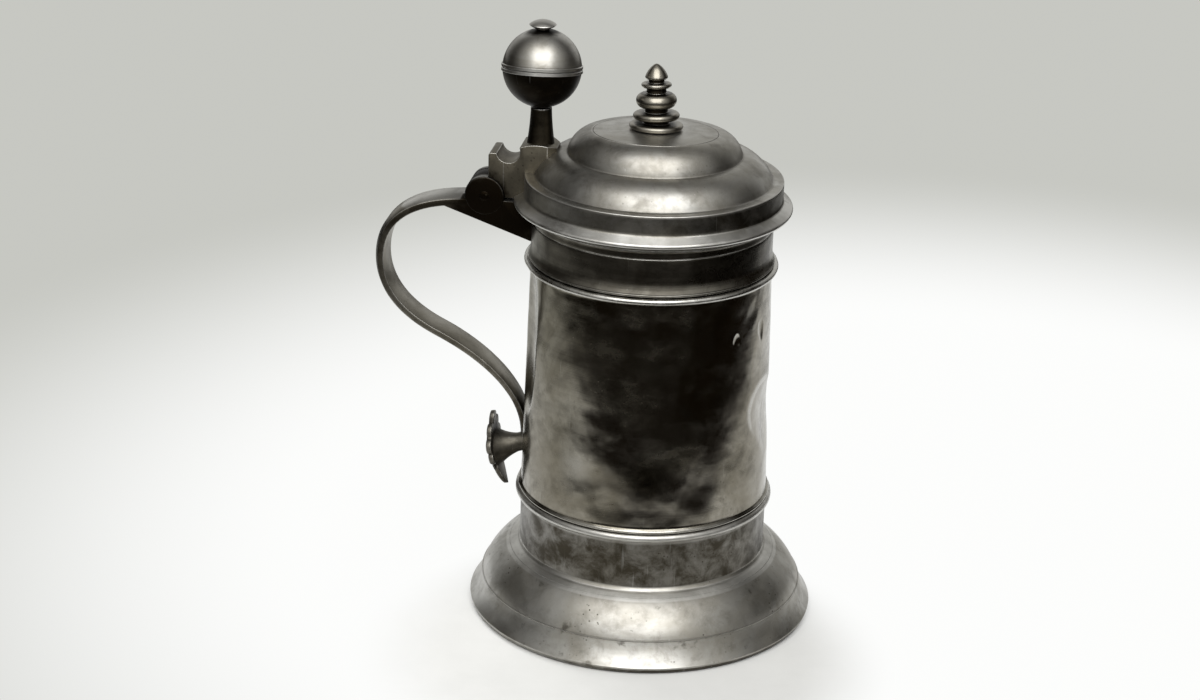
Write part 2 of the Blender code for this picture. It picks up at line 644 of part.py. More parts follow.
def strap_knots():
    """Knots of the strap's curve: place, heading, straight run before and after it, and size."""
    top = HINGE_Z - STRAP_DROP - STRAP_THICKNESS / 2
    bend_z = HINGE_Z - BEND_DROP
    belly_size = STRAP_BELLY_WIDTH / STRAP_WIDTH
    bend_size = STRAP_BEND_WIDTH / STRAP_WIDTH
    foot_size = STRAP_FOOT_WIDTH / STRAP_WIDTH
    root = Vector((HINGE_X - KNUCKLE_RADIUS / 2, 0, top))
    belly = Vector((belly_size * STRAP_THICKNESS / 2 - HANDLE_REACH, 0, HINGE_Z - BELLY_DROP))
    bend = Vector((-drum_radius(bend_z) - BEND_FROM_DRUM, 0, bend_z))
    foot_sink = foot_size * STRAP_THICKNESS / 2 - STRAP_FOOT_PROUD
    foot = Vector((foot_sink - drum_radius(STRAP_FOOT_Z), 0, STRAP_FOOT_Z))
    down = Vector((0, 0, -1))
    slope = Vector((math.cos(BEND_SLOPE), 0, -math.sin(BEND_SLOPE)))
    return (
        (root, Vector((-1, 0, 0)), 0, ROOT_PULL * (root.x - belly.x), 1),
        (belly, down, BELLY_PULL[0] * (root.z - belly.z), BELLY_PULL[1] * (belly.z - bend.z), belly_size),
        (bend, slope, BEND_PULL[0] * (bend.x - belly.x), BEND_PULL[1] * (foot.x - bend.x), bend_size),
        (foot, down, FOOT_PULL * (bend.z - foot.z), 0, foot_size),
    )


def strap_mesh():
    """The strap: its section swept along an S-curve and narrowing to its foot."""
    section = strap_section()
    knots = strap_knots()
    path = bpy.data.curves.new("strap", "CURVE")
    path.dimensions = "3D"
    path.twist_mode = "MINIMUM"
    path.resolution_u = STRAP_STEPS
    path.bevel_mode = "OBJECT"
    path.bevel_object = section
    path.use_fill_caps = True
    bezier = path.splines.new("BEZIER")
    bezier.bezier_points.add(len(knots) - 1)
    for point, (place, heading, before, after, size) in zip(bezier.bezier_points, knots):
        point.co = place
        point.handle_left = place - heading * before
        point.handle_right = place + heading * after
        point.radius = size
    strap = bpy.data.objects.new("strap", path)
    HELPERS.objects.link(strap)
    mesh = curve_to_mesh(strap, "handle")
    bpy.data.objects.remove(section)
    return mesh


def bracket_outline():
    """Side view of the gusset that carries the hinge on the collar."""
    inside = -(DRUM_TOP_RADIUS - WALL)
    low = (-DRUM_TOP_RADIUS, HINGE_Z - BRACKET_FOOT_DROP)
    tip = (HINGE_X - BRACKET_TIP_LENGTH, HINGE_Z - BRACKET_TIP_DROP)
    slope = (tip[1] - low[1]) / (tip[0] - low[0])
    top = HINGE_Z - BRACKET_TOP_DROP
    points = [(inside, low[1] + slope * (inside - low[0])), tip]
    points.append((HINGE_X - KNUCKLE_RADIUS, HINGE_Z - STRAP_DROP - STRAP_THICKNESS / 2))
    points += [(HINGE_X, HINGE_Z), (HINGE_X + KNUCKLE_RADIUS, top), (inside, top)]
    return points


def vessel_envelope():
    """Collar and drum as one solid, a seat gap larger all round."""
    outside = grown(collar_outside() + drum_outside(), SEAT_GAP)
    return [(0, outside[0][1])] + outside + [(0, outside[-1][1])]


def add_handle():
    handle = add_part("handle", strap_mesh(), MUG_AXIS, 0.34, 0.38)
    bracket = slab_mesh("hinge_bracket", bracket_outline(), HINGE_WIDTH - 2 * SEAT_GAP, SIDE_FRAME)
    combine(handle, "UNION", add_helper("hinge_bracket", bracket))
    barrel = barrel_mesh("hinge_barrel", KNUCKLE_RADIUS, HINGE_WIDTH, 0)
    combine(handle, "UNION", add_helper("hinge_barrel", barrel))
    slot_length = MIDDLE_KNUCKLE_LENGTH + 2 * KNUCKLE_GAP
    slot = barrel_mesh("middle_knuckle_space", KNUCKLE_RADIUS + KNUCKLE_GAP, slot_length, 0)
    combine(handle, "DIFFERENCE", add_helper("middle_knuckle_space", slot))
    combine(handle, "DIFFERENCE", PIN_BORE)
    combine(handle, "DIFFERENCE", VESSEL)
    return handle


def add_pin():
    """Hinge pin with its ends riveted just proud of the outer knuckles."""
    half = HINGE_WIDTH / 2 + PIN_HEAD
    profile = [(0, half), (PIN_RADIUS - PIN_HEAD, half), (PIN_RADIUS, half - PIN_HEAD)]
    profile += [(PIN_RADIUS, PIN_HEAD - half), (PIN_RADIUS - PIN_HEAD, -half), (0, -half)]
    pin = add_part("hinge_pin", profile_mesh("hinge_pin", profile, closed=False), MUG_AXIS, 0.18, 0.40)
    pin.location = (HINGE_X, 0, HINGE_Z)
    pin.rotation_euler.x = math.radians(90)
    return turn(pin, SMALL_STEPS)


def shield_outline():
    """Front view of the shield: scallops down both sides and a tongue that runs out to a point."""
    across, up, radius = SHIELD_TOP_LOBE
    side = arc_about((across, up), radius, 90, 90 - LOBE_SPREAD, 3)
    for across, up, radius in SHIELD_SIDE_LOBES:
        heading = math.degrees(math.atan2(up, across))
        side += arc_about((across, up), radius, heading + LOBE_SPREAD, heading - LOBE_SPREAD, 4)
    tongue_top = (SHIELD_TONGUE_WIDTH, side[-1][1] - BEAD_NECK)
    tip = (0, tongue_top[1] - SHIELD_TONGUE_LENGTH)
    side += [tongue_top] + arc_between(tongue_top, tip, SHIELD_TONGUE_SWELL, 5)
    return side + [(-across, up) for across, up in side[-2:0:-1]]


def add_tail():
    """Flared arm that leaves the drum below the strap and carries the shield."""
    height = STRAP_FOOT_Z - TAIL_ARM_RADIUS - SEAT_GAP
    lean = Matrix.Translation((-drum_radius(height), 0, height)) @ Matrix.Rotation(-TAIL_LEAN, 4, "Y")
    flare = (TAIL_FLARE_RADIUS, TAIL_LENGTH)
    profile = [(0, -WALL), (TAIL_ARM_RADIUS, -WALL), (TAIL_ARM_RADIUS, TAIL_ARM_LENGTH)]
    profile += arc_between(profile[-1], flare, TAIL_FLARE_HOLLOW, 5)
    profile.append((0, TAIL_LENGTH))
    arm = turn(add_helper("tail_arm", profile_mesh("tail_arm", profile[::-1], closed=False)), SMALL_STEPS)
    arm.matrix_local = lean @ Matrix.Rotation(math.radians(-90), 4, "Y")
    upright = Matrix(((0, 0, 1, 0), (1, 0, 0, 0), (0, 1, 0, 0), (0, 0, 0, 1)))
    shield_frame = lean @ Matrix.Translation((-TAIL_LENGTH, 0, 0)) @ upright
    mesh = slab_mesh("tail_shield", shield_outline(), SHIELD_THICKNESS, shield_frame)
    tail = add_part("tail_shield", mesh, MUG_AXIS, 0.16, 0.42)
    combine(tail, "UNION", arm)
    combine(tail, "DIFFERENCE", VESSEL)
    return tail


clear_scene()
PARTS = new_collection("lidded_tankard")
HELPERS = new_collection("cutters_and_guides")
MUG_AXIS = new_empty("mug_axis", (AXIS_X, 0, 0))
LID_AXIS = new_empty("lid_hinge_axis", (HINGE_X, 0, HINGE_Z), MUG_AXIS)
bore = barrel_mesh("pin_bore", PIN_RADIUS + PIN_GAP, 2 * HINGE_WIDTH, 0, SMALL_STEPS)
PIN_BORE = add_helper("pin_bore", bore)
VESSEL = add_helper("vessel_envelope", profile_mesh("vessel_envelope", vessel_envelope(), closed=False))
turn(VESSEL, TURN_STEPS)

add_foot()
add_floor()
add_drum()
add_collar()
add_handle()
add_tail()
add_pin()
add_lid()
add_finial()
add_lever()
add_stem()
add_ball()
add_button()
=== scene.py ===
"""Looks of an old lidded pewter tankard: turned, cast and soldered pieces around its packed frame."""

import json
import math

import bmesh
import bpy
from bpy.props import FloatProperty, FloatVectorProperty, PointerProperty
from mathutils import Matrix, Vector, geometry, noise
from mathutils.bvhtree import BVHTree


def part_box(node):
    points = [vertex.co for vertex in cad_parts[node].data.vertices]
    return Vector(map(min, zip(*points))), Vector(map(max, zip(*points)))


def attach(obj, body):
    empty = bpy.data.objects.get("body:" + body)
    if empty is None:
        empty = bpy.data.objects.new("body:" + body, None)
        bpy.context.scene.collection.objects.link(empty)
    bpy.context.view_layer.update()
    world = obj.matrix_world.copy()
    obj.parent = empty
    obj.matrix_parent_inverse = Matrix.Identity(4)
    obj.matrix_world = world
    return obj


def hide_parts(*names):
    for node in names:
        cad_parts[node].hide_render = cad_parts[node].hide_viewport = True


bl_info = {
    "name": "Lidded Pewter Tankard",
    "version": (1, 0, 0),
    "blender": (4, 5, 0),
    "location": "3D View > Sidebar > Tankard",
    "description": "Builds a worn pewter tankard with a hinged, domed lid",
    "category": "Add Mesh",
}

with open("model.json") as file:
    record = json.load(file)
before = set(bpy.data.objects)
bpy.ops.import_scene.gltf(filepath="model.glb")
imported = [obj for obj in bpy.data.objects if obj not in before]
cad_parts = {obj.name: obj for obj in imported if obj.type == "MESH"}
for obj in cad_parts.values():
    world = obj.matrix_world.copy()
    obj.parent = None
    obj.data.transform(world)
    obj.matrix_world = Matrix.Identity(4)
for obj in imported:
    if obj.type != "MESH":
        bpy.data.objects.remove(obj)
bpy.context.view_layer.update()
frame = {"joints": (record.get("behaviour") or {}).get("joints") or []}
FOOT_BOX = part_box("foot")
AXIS_X = (FOOT_BOX[0].x + FOOT_BOX[1].x) / 2
HINGE = Vector(frame["joints"][0]["pos_m"]) - Vector((AXIS_X, 0, 0))

# Steps of a full turn for large, middling and small pieces, and steps between two knots of the strap
FINE_ROUND = 288
ROUND = 192
SMALL_ROUND = 96
STRAP_STEPS = 32
# Merging distance, and the angle from which an edge is shaded as sharp
WELD = 0.000004
CREASE = math.radians(34)
# Rounding of edges: turned pieces, finial, stem and button, cast pieces, strap, outer and middle knuckles
TURNED_EDGE = 0.00012
FINIAL_EDGE = 0.0001
STEM_EDGE = 0.0002
CAST_EDGE = 0.0005
STRAP_EDGE = 0.0004
OUTER_EDGE = 0.0009
MIDDLE_EDGE = 0.0003
# Rounding of the valleys in the foot and the lid
SHOULDER_ROUND = 0.0012
VALLEY_ROUND = 0.0016
STEP_ROUND = 0.0007
# Rays that feel how deep a corner sits in a gap: number, reach, start above the metal and their two slants
SHELTER_RAYS = 12
SHELTER_REACH = 0.0025
SHELTER_LIFT = 0.0002
SHELTER_SLANTS = (1.8, 0.7)
# Least distance between two faces when the bend between them is measured
LEAST_SPAN = 0.0001
# A bound past every corner, and how far a corner stands out of a wall or a ridge when it counts as proud
FAR = 1.0
PROUD = 0.0006
RIDGE_PROUD = 0.0004

# Finishes of the metal: clean tone, tone of its skin, roughness, patina, pits, turning lines, height of the
# waves in the metal, and haze, which is dull oxide in clouds that lie round the axis
FINISHES = {
    "foot_metal": ("bright", "plain", 0.31, 0.80, 1.00, 0.5, 0.0004, 0.50),
    "floor_metal": ("plain", "dull", 0.40, 0.90, 0.60, 0.7, 0.0004, 0.00),
    "drum_metal": ("plain", "dull", 0.13, 0.90, 0.45, 0.4, 0.0007, 0.45),
    "collar_metal": ("plain", "dark", 0.24, 0.60, 0.40, 0.8, 0.0004, 0.50),
    "lid_metal": ("bright", "plain", 0.31, 0.75, 0.35, 0.8, 0.0003, 0.40),
    "finial_metal": ("plain", "dull", 0.26, 0.60, 0.20, 0.2, 0.0001, 0.00),
    "lever_metal": ("dull", "dark", 0.40, 0.60, 0.80, 0.1, 0.0006, 0.00),
    # Painted light and shade: the stem and the lower half of the ball take near black tones, the upper half
    # bright ones
    "stem_metal": ("dark", "soot_and_shade", 0.34, 0.90, 0.20, 0.3, 0.0004, 0.00),
    "upper_ball_metal": ("bright", "dull", 0.31, 0.60, 0.20, 0.5, 0.0003, 0.00),
    "lower_ball_metal": ("dark", "soot_and_shade", 0.36, 1.00, 0.20, 0.3, 0.0003, 0.00),
    "cap_metal": ("bright", "plain", 0.34, 0.50, 0.20, 0.3, 0.0002, 0.00),
    "handle_metal": ("plain", "dull", 0.36, 0.70, 0.60, 0.1, 0.0006, 0.00),
    "pin_metal": ("soot_and_shade", "soot_and_shade", 0.45, 0.80, 0.50, 0.1, 0.0004, 0.00),
    "tail_metal": ("plain", "dark", 0.40, 0.80, 0.70, 0.1, 0.0004, 0.00),
}
# Reach of the darkening round the hinge on the lever, which is dirt, on the bracket, which is painted shade,
# round the shield, and round the button, which is painted shade; and how far its middle lies from the pin and
# from the shield
LEVER_GRIME = 0.018
BRACKET_SHADE = 0.030
BRACKET_SHADE_SHIFT = 0.006
SHIELD_GRIME = 0.0165
SHIELD_GRIME_SHIFT = 0.009
BUTTON_SHADE = 0.0080
# Darkness of the painted shade on the strap, and how far it spreads along the strap from the hinge and from
# the foot
STRAP_SHADE = 3.0
HINGE_SHADE_REACH = 0.080
FOOT_SHADE_REACH = 0.024

# Dents in the drum: angle round the axis in degrees, height, reach round the drum, reach upwards, depth,
# softness of the rim, from 1 for a crease upwards, and the side on which a painted highlight runs along the
# crease
DRUM_DENTS = (
    (200, 0.1310, 0.0125, 0.0340, 0.0026, 1.2, 1),
    (238, 0.1080, 0.0190, 0.0300, 0.0007, 2.5, 0),
    (355, 0.1010, 0.0205, 0.0190, 0.0024, 1.35, -1),
    (342, 0.1450, 0.0032, 0.0060, 0.0005, 1.5, 0),
    (322, 0.1450, 0.0022, 0.0036, 0.0006, 1.0, -1),
    (262, 0.0700, 0.0150, 0.0080, 0.0004, 2.0, 0),
    (286, 0.0680, 0.0130, 0.0070, 0.0003, 2.0, 0),
    (302, 0.0800, 0.0120, 0.0150, 0.0005, 2.5, 0),
    (246, 0.0820, 0.0120, 0.0120, 0.0005, 2.5, 0),
)
# Dents of less reach than this get finer faces, out to these shares of their reach round the drum and upwards
SMALL_DENT = 0.0040
FINE_REACH = (1.8, 1.5)
FINE_CUTS = 3
# Waves that make the outline of a dent or stain uneven: waves in a turn, size, and shift by the dent's angle
OUTLINE_WAVES = ((2, 0.10, 1), (3, 0.07, 2))
# Painted highlight along the crease at a dent's rim: width, the most of the dent's reach that it takes,
# brightness, and how far below the dent's middle it starts and over what height it grows
CREASE_WIDTH = 0.0017
CREASE_SHARE = 0.3
CREASE_HIGHLIGHT = 0.8
CREASE_FOOT = 0.4
CREASE_GROWTH = 0.5

# Stains on the drum: angle round the axis in degrees, height, reach round the drum, reach upwards and
# darkness, which is below 0 where the metal is rubbed
DRUM_STAINS = (
    (277, 0.0820, 0.0180, 0.0190, 1.3),
    (262, 0.1180, 0.0100, 0.0160, 0.5),
    (325, 0.1520, 0.0170, 0.0140, -0.50),
    (243, 0.0840, 0.0150, 0.0200, -0.35),
)
STAIN_SOFTNESS = 1.5

# Scallops down one side of the shield: place across, height and radius; then the height and radius of the
# one at its top, the angle in degrees that each shows to both sides, and the height at which the bow is full
SHIELD_LOBES = ((0.0060, 0.0080, 0.0036), (0.0096, 0.0020, 0.0037), (0.0080, -0.0042, 0.0034))
SHIELD_TOP = (0.0124, 0.0035)
SHIELD_SPREAD = 75
SHIELD_REACH = 0.016

# Soft lights: place, target, width, height, power, and whether the metal mirrors them
SOFTBOXES = {
    "front_softbox": ((AXIS_X + 0.095, -0.83, 1.10), (AXIS_X, 0.0, 0.10), 1.25, 1.40, 17.5, True),
    "table_softbox": ((-0.60, 0.62, 0.95), (0.0, 0.0, 0.0), 0.45, 0.45, 6.0, False),
}
# Width of the camera's film, radius of the floor, its depth below the foot, and softness of the sheet's edge
FILM_WIDTH = 36.0
FLOOR_RADIUS = 4.0
FLOOR_DEPTH = 0.0002
SHEET_SOFTNESS = 0.03


def length(name, description, default):
    return FloatProperty(name=name, description=description, default=default, unit="LENGTH", precision=5)


def turn_angle(name, description, degrees):
    return FloatProperty(name=name, description=description, default=math.radians(degrees), unit="ROTATION")


def share(name, description, default):
    return FloatProperty(name=name, description=description, default=default, subtype="FACTOR")


def tone(name, description, default):
    return FloatVectorProperty(
        name=name, description=description, default=default, subtype="COLOR", min=0, max=1
    )


class VesselSizes(bpy.types.PropertyGroup):
    """Sizes of the foot, the drum and the collar."""

    seam: length("Seam", "Gap between two soldered pieces", 0.0003)
    wall: length("Wall", "Thickness of the vessel's wall", 0.0026)
    lap: length("Lap", "How far one wall laps into the next", 0.0026)
    foot_radius: length("Foot radius", "Widest radius of the foot", (FOOT_BOX[1].x - FOOT_BOX[0].x) / 2)
    foot_height: length("Foot height", "Height of the flare of the foot", 0.0300)
    foot_land: length("Foot land", "Width of the ring that stands on the table", 0.0050)
    edge_height: length("Edge height", "Height of the widest line of the foot", 0.0030)
    edge_undercut: length("Edge undercut", "How far the edge turns in at the table", 0.0016)
    edge_swell: length("Edge swell", "Swell of the lowest band of the foot, below 0 for a hollow", -0.0004)
    scribe_height: length("Scribe height", "Height of the scribed line on the foot", 0.0140)
    scribe_inset: length("Scribe inset", "Distance of the scribed line inside the edge", 0.0058)
    scribe_depth: length("Scribe depth", "Depth of the scribed lines", 0.0003)
    shoulder: length("Shoulder", "Width of the hollow at the top of the flare", 0.0022)
    shoulder_hollow: length("Shoulder hollow", "Depth of that hollow", 0.0005)
    flare_swell: length("Flare swell", "Swell of the flare", 0.0021)
    band_length: length("Band length", "Height of the plain band above the flare", 0.0282)
    ledge: length("Floor ledge", "Width of the ledge under the floor", 0.0016)
    ledge_depth: length("Ledge depth", "Thickness of the ledge under the floor", 0.0024)
    floor_drop: length("Floor drop", "How far the ledge lies below the top of the flare", 0.0010)
    floor_thickness: length("Floor thickness", "Thickness of the floor disc", 0.0022)
    drum_length: length("Drum length", "Height of the drum between its seams", 0.1114)
    drum_foot_radius: length("Drum foot radius", "Radius of the drum at its foot", 0.0570)
    drum_top_radius: length("Drum top radius", "Radius of the drum at its top", 0.0543)
    collar_length: length("Collar length", "Height of the collar", 0.0243)
    collar_flare: length("Collar flare", "How far the collar flares out to its ridge", 0.0010)
    collar_flare_height: length("Collar flare height", "Height of that flare", 0.0055)
    lip_height: length("Lip height", "Height of the thickened lip", 0.0036)
    lip_proud: length("Lip proud", "How far the lip stands out", 0.0012)
    lower_bead: length("Lower bead", "Radius of the lower bead ring", 0.0018)
    lower_bead_proud: length("Lower bead proud", "How far the lower bead stands out", 0.0024)
    upper_bead: length("Upper bead", "Radius of the upper bead ring", 0.0014)
    upper_bead_proud: length("Upper bead proud", "How far the upper bead stands out", 0.0029)
    ridge: length("Ridge", "Radius of the fine ridges beside the beads", 0.0008)
    neck: length("Neck", "Width of the groove beside a bead", 0.0005)

    @property
    def lower_seam(self):
        return self.foot_height + self.band_length

    @property
    def upper_seam(self):
        return self.lower_seam + self.drum_length

    @property
    def rim(self):
        return self.upper_seam + self.collar_length

    @property
    def lip_radius(self):
        return self.drum_top_radius + self.lip_proud

    def drum_radius(self, height):
        part = (height - self.lower_seam) / self.drum_length
        return self.drum_foot_radius + part * (self.drum_top_radius - self.drum_foot_radius)


class LidSizes(bpy.types.PropertyGroup):
    """Sizes of the lid and its finial."""

    overhang: length("Overhang", "How far the flange reaches past the lip", 0.0069)
    flange_edge: length("Flange edge", "Radius of the flange's rounded edge", 0.0012)
    flange_rise: length("Flange rise", "Height of the flange's slope at the band", 0.0047)
    band_inset: length("Band inset", "Distance of the upright band inside the flange", 0.0045)
    band_height: length("Band height", "Height of the ledge above the rim", 0.0136)
    ledge_width: length("Ledge width", "Width of the flat ledge", 0.0047)
    ledge_edge: length("Ledge edge", "Size of the ledge's rounded edge", 0.0004)
    step_width: length("Step width", "Width of the lower step", 0.0141)
    step_rise: length("Step rise", "Height of the lower step", 0.0109)
    step_swell: length("Step swell", "Swell of the lower step", 0.0024)
    dome_width: length("Dome width", "Width of the upper step", 0.0107)
    dome_rise: length("Dome rise", "Height of the upper step", 0.0095)
    dome_swell: length("Dome swell", "Swell of the upper step", 0.0024)
    crown_rise: length("Crown rise", "Rise of the disc towards the finial", 0.0012)
    wall: length("Wall", "Thickness of the lid", 0.0022)
    scribe_inset: length("Scribe inset", "Distance of the scribed line inside the disc's edge", 0.0008)
    tenon: length("Tenon radius", "Radius of the finial's tenon", 0.0030)
    seat: length("Seat radius", "Radius of the finial's base ring", 0.0120)
    seat_height: length("Seat height", "Height of the base ring", 0.0026)
    ring: length("Ring radius", "Radius of the ring above the base", 0.0103)
    ring_height: length("Ring height", "Height of that ring", 0.0030)
    bulb: length("Bulb radius", "Radius of the bulb", 0.0090)
    bulb_height: length("Bulb height", "Height of the bulb", 0.0066)
    collar: length("Collar radius", "Radius of the collar under the tip", 0.0067)
    collar_height: length("Collar height", "Height of that collar", 0.0020)
    tip: length("Tip radius", "Radius of the pointed tip", 0.0050)
    tip_height: length("Tip height", "Height of the pointed tip", 0.0068)
    tip_shoulder: length("Tip shoulder", "Height of the tip's widest line above its neck", 0.0010)
    tip_swell: length("Tip swell", "Swell of the tip", 0.0006)
    neck: length("Neck radius", "Radius of the necks between the beads", 0.0046)
    neck_height: length("Neck height", "Height of each neck", 0.0017)
    lean: turn_angle("Finial lean", "How far the finial leans towards the hinge", 2.0)
    sag: turn_angle("Disc sag", "How far the disc under the finial has sunk at the back", 3.5)


class HingeSizes(bpy.types.PropertyGroup):
    """Sizes of the hinge, its lever and the ball thumbpiece."""

    width: length("Hinge width", "Length of the three knuckles together", 0.0176)
    knuckle: length("Knuckle radius", "Radius of the knuckles", 0.0090)
    knuckle_gap: length("Knuckle gap", "Gap between the knuckles", 0.0004)
    outer_knuckle: length("Outer knuckle", "Length of each outer knuckle", 0.0042)
    pin: length("Pin radius", "Radius of the hinge pin", 0.0022)
    pin_head: length("Pin head", "How far the riveted pin stands out", 0.0004)
    lever_width: length("Lever width", "Width of the lever", 0.0172)
    lug_setback: length("Lug setback", "Distance of the lug's back from the pin", 0.0017)
    lug_height: length("Lug height", "Height of the lug above the pin", 0.0203)
    lug_thickness: length("Lug thickness", "Thickness of the lug at its top", 0.0036)
    lug_round: length("Lug round", "Rounding of the lug's back", 0.0012)
    lug_foot_gap: length("Lug foot gap", "Height of the lug's foot above the knuckles", 0.0012)
    scoop: length("Scoop depth", "Depth of the scoop for the thumb", 0.0058)
    thumb_inset: length("Thumb inset", "Distance of the ball inside the lid's ledge", 0.0064)
    block_height: length("Block height", "Height of the block above the ledge", 0.0128)
    block_half: length("Block half length", "Half the length of the block", 0.0082)
    block_arch: length("Block arch", "Rise of the block's arched top", 0.0016)
    block_cant: length("Block cant", "Size of the canted corners of the block", 0.0038)
    stem_foot: length("Stem foot", "Radius of the stem at its foot", 0.0063)
    stem_neck: length("Stem neck", "Radius of the stem under the ball", 0.0047)
    stem_hollow: length("Stem hollow", "Hollow of the stem's side", 0.0003)
    stem_length: length("Stem length", "Length of the stem", 0.0152)
    tenon: length("Tenon radius", "Radius of the tenon through the ball", 0.0020)
    ball: length("Ball radius", "Radius of the ball", 0.0176)
    ball_wall: length("Ball wall", "Thickness of the ball's shell", 0.0016)
    ball_bead: length("Ball bead", "Radius of the beads at the ball's seam", 0.0008)
    ball_tilt: turn_angle("Ball tilt", "How far the ball's seam is out of level", 8.0)
    button: length("Button radius", "Radius of the button", 0.0061)
    button_neck: length("Button neck", "Radius of the button's neck", 0.0036)
    button_neck_height: length("Button neck height", "Height of the button's neck", 0.0006)
    button_rim: length("Button rim", "Height of the button's widest line", 0.0011)
    button_height: length("Button height", "Height of the button's cap", 0.0032)
    button_swell: length("Button swell", "Swell of the button's cap", 0.0006)


class HandleSizes(bpy.types.PropertyGroup):
    """Sizes of the strap handle, its bracket and its tail."""

    reach: length("Reach", "Distance of the strap's back from the drum's axis", 0.1260)
    width: length("Strap width", "Width of the strap at the hinge", 0.0172)
    belly_width: length("Belly width", "Width of the strap at its belly", 0.0167)
    bend_width: length("Bend width", "Width of the strap where it turns in", 0.0157)
    foot_width: length("Foot width", "Width of the strap at its foot", 0.0132)
    crown_width: length("Crown width", "Width of the flat crown on the outside", 0.0086)
    thickness: length("Strap thickness", "Thickness of the strap", 0.0045)
    edge: length("Strap edge", "Height of the strap's upright edges", 0.0030)
    drop: length("Strap drop", "Depth of the strap's top below the pin", 0.0006)
    belly_drop: length("Belly drop", "Depth of the belly below the pin", 0.0335)
    bend_drop: length("Bend drop", "Depth of the bend below the pin", 0.0685)
    bend_from_drum: length("Bend from drum", "Distance of the bend from the drum", 0.0414)
    bend_slope: turn_angle("Bend slope", "Slope of the strap at the bend", 25.5)
    foot_height: length("Strap foot height", "Height of the strap's end above the lower ring", 0.0208)
    foot_proud: length("Strap foot proud", "How far the strap's end stands out of the drum", 0.0012)
    root_pull: share("Root pull", "Straight run after the hinge", 0.87)
    belly_rise: share("Belly rise", "Straight run above the belly", 0.40)
    belly_fall: share("Belly fall", "Straight run below the belly", 0.44)
    bend_rise: share("Bend rise", "Straight run before the bend", 0.69)
    bend_fall: share("Bend fall", "Straight run after the bend", 0.43)
    foot_pull: share("Foot pull", "Straight run before the foot", 0.50)
    bracket_drop: length("Bracket drop", "Depth of the bracket's foot below the pin", 0.0199)
    bracket_reach: length("Bracket reach", "Reach of the bracket past the pin", 0.0215)
    bracket_tip_drop: length("Bracket tip drop", "Depth of the bracket's tip below the pin", 0.0050)
    bracket_top_drop: length("Bracket top drop", "Depth of the bracket's top below the pin", 0.0018)
    tail_length: length("Tail length", "Length of the arm that carries the shield", 0.0144)
    tail_arm: length("Tail arm", "Radius of the arm at the drum", 0.0044)
    tail_arm_length: length("Tail arm length", "Straight part of the arm", 0.0030)
    tail_flare: length("Tail flare", "Radius of the arm at the shield", 0.0108)
    tail_hollow: length("Tail hollow", "Hollow of the arm's flare", 0.0010)
    tail_droop: length("Tail droop", "How far the arm sinks towards the shield", 0.0026)
    tail_lean: turn_angle("Tail lean", "How far the arm rises from the drum", 8.5)
    shield_thickness: length("Shield thickness", "Thickness of the shield", 0.0024)
    tongue_width: length("Tongue width", "Half width of the shield's tongue", 0.0070)
    tongue_length: length("Tongue length", "Length of the shield's tongue", 0.0131)
    tongue_swell: length("Tongue swell", "Swell of the tongue's sides", 0.0012)
    shield_bow: length("Shield bow", "How far the shield's ends bend to the drum", 0.0018)


class PewterTones(bpy.types.PropertyGroup):
    """Tones of the metal, from rubbed edges to dirt and painted shade."""

    rubbed: tone("Rubbed edge", "Metal that hands have rubbed bright", (0.600, 0.592, 0.566))
    bright: tone("Bright pewter", "Clean turned metal", (0.464, 0.456, 0.432))
    plain: tone("Plain pewter", "Metal with its grey skin", (0.290, 0.272, 0.232))
    dull: tone("Dull pewter", "Metal that is seldom touched", (0.180, 0.162, 0.124))
    # Dark skin and soot also serve as painted shade: in gaps, under the ball and on shaded faces
    dark: tone("Dark skin", "Oxide in hollows and in stains", (0.050, 0.043, 0.031))
    soot_and_shade: tone("Soot", "Old dirt on the hinge and under the ball", (0.0078, 0.0054, 0.0030))


class StageSettings(bpy.types.PropertyGroup):
    """Camera, floor and light."""

    camera_place: FloatVectorProperty(
        name="Camera place",
        description="Where the camera stands",
        default=(AXIS_X + 0.1269, -1.1138, 0.5640),
        subtype="XYZ",
        unit="LENGTH",
    )
    camera_yaw: turn_angle("Camera yaw", "Turn of the camera to the handle's side", 7.62)
    camera_pitch: turn_angle("Camera pitch", "How far the camera looks down", 21.45)
    camera_roll: turn_angle("Camera roll", "Tilt of the camera", 1.67)
    lens: FloatProperty(name="Lens", description="Focal length of the camera", default=79.02, unit="CAMERA")
    floor: tone("Floor", "Colour of the floor", (0.71, 0.71, 0.695))
    floor_grain: tone("Floor grain", "Darker colour in the grain of the floor", (0.69, 0.69, 0.675))
    # The glow is a painted pool of light: the floor round the tankard shines white by itself
    glow: tone("Glow", "Colour of the bright floor round the tankard", (0.98, 0.985, 0.975))
    backdrop: tone("Backdrop", "Colour far behind the tankard", (0.57, 0.575, 0.54))
    wall: tone("Wall", "Colour of the pale wall that the metal mirrors", (0.72, 0.72, 0.70))
    ceiling: tone("Ceiling", "Colour of the soft light over the camera", (0.68, 0.68, 0.66))
    studio: tone("Studio", "Colour of the dark side of the room", (0.0094, 0.0059, 0.0022))
    sheet_back: length("Sheet back", "Distance of the pale sheet's middle behind the tankard", 0.333)
    sheet_reach: length("Sheet reach", "Reach of the pale sheet that the metal mirrors", 0.530)
    sheet_turn: turn_angle("Sheet turn", "Turn of the pale sheet to the handle's side", 23)


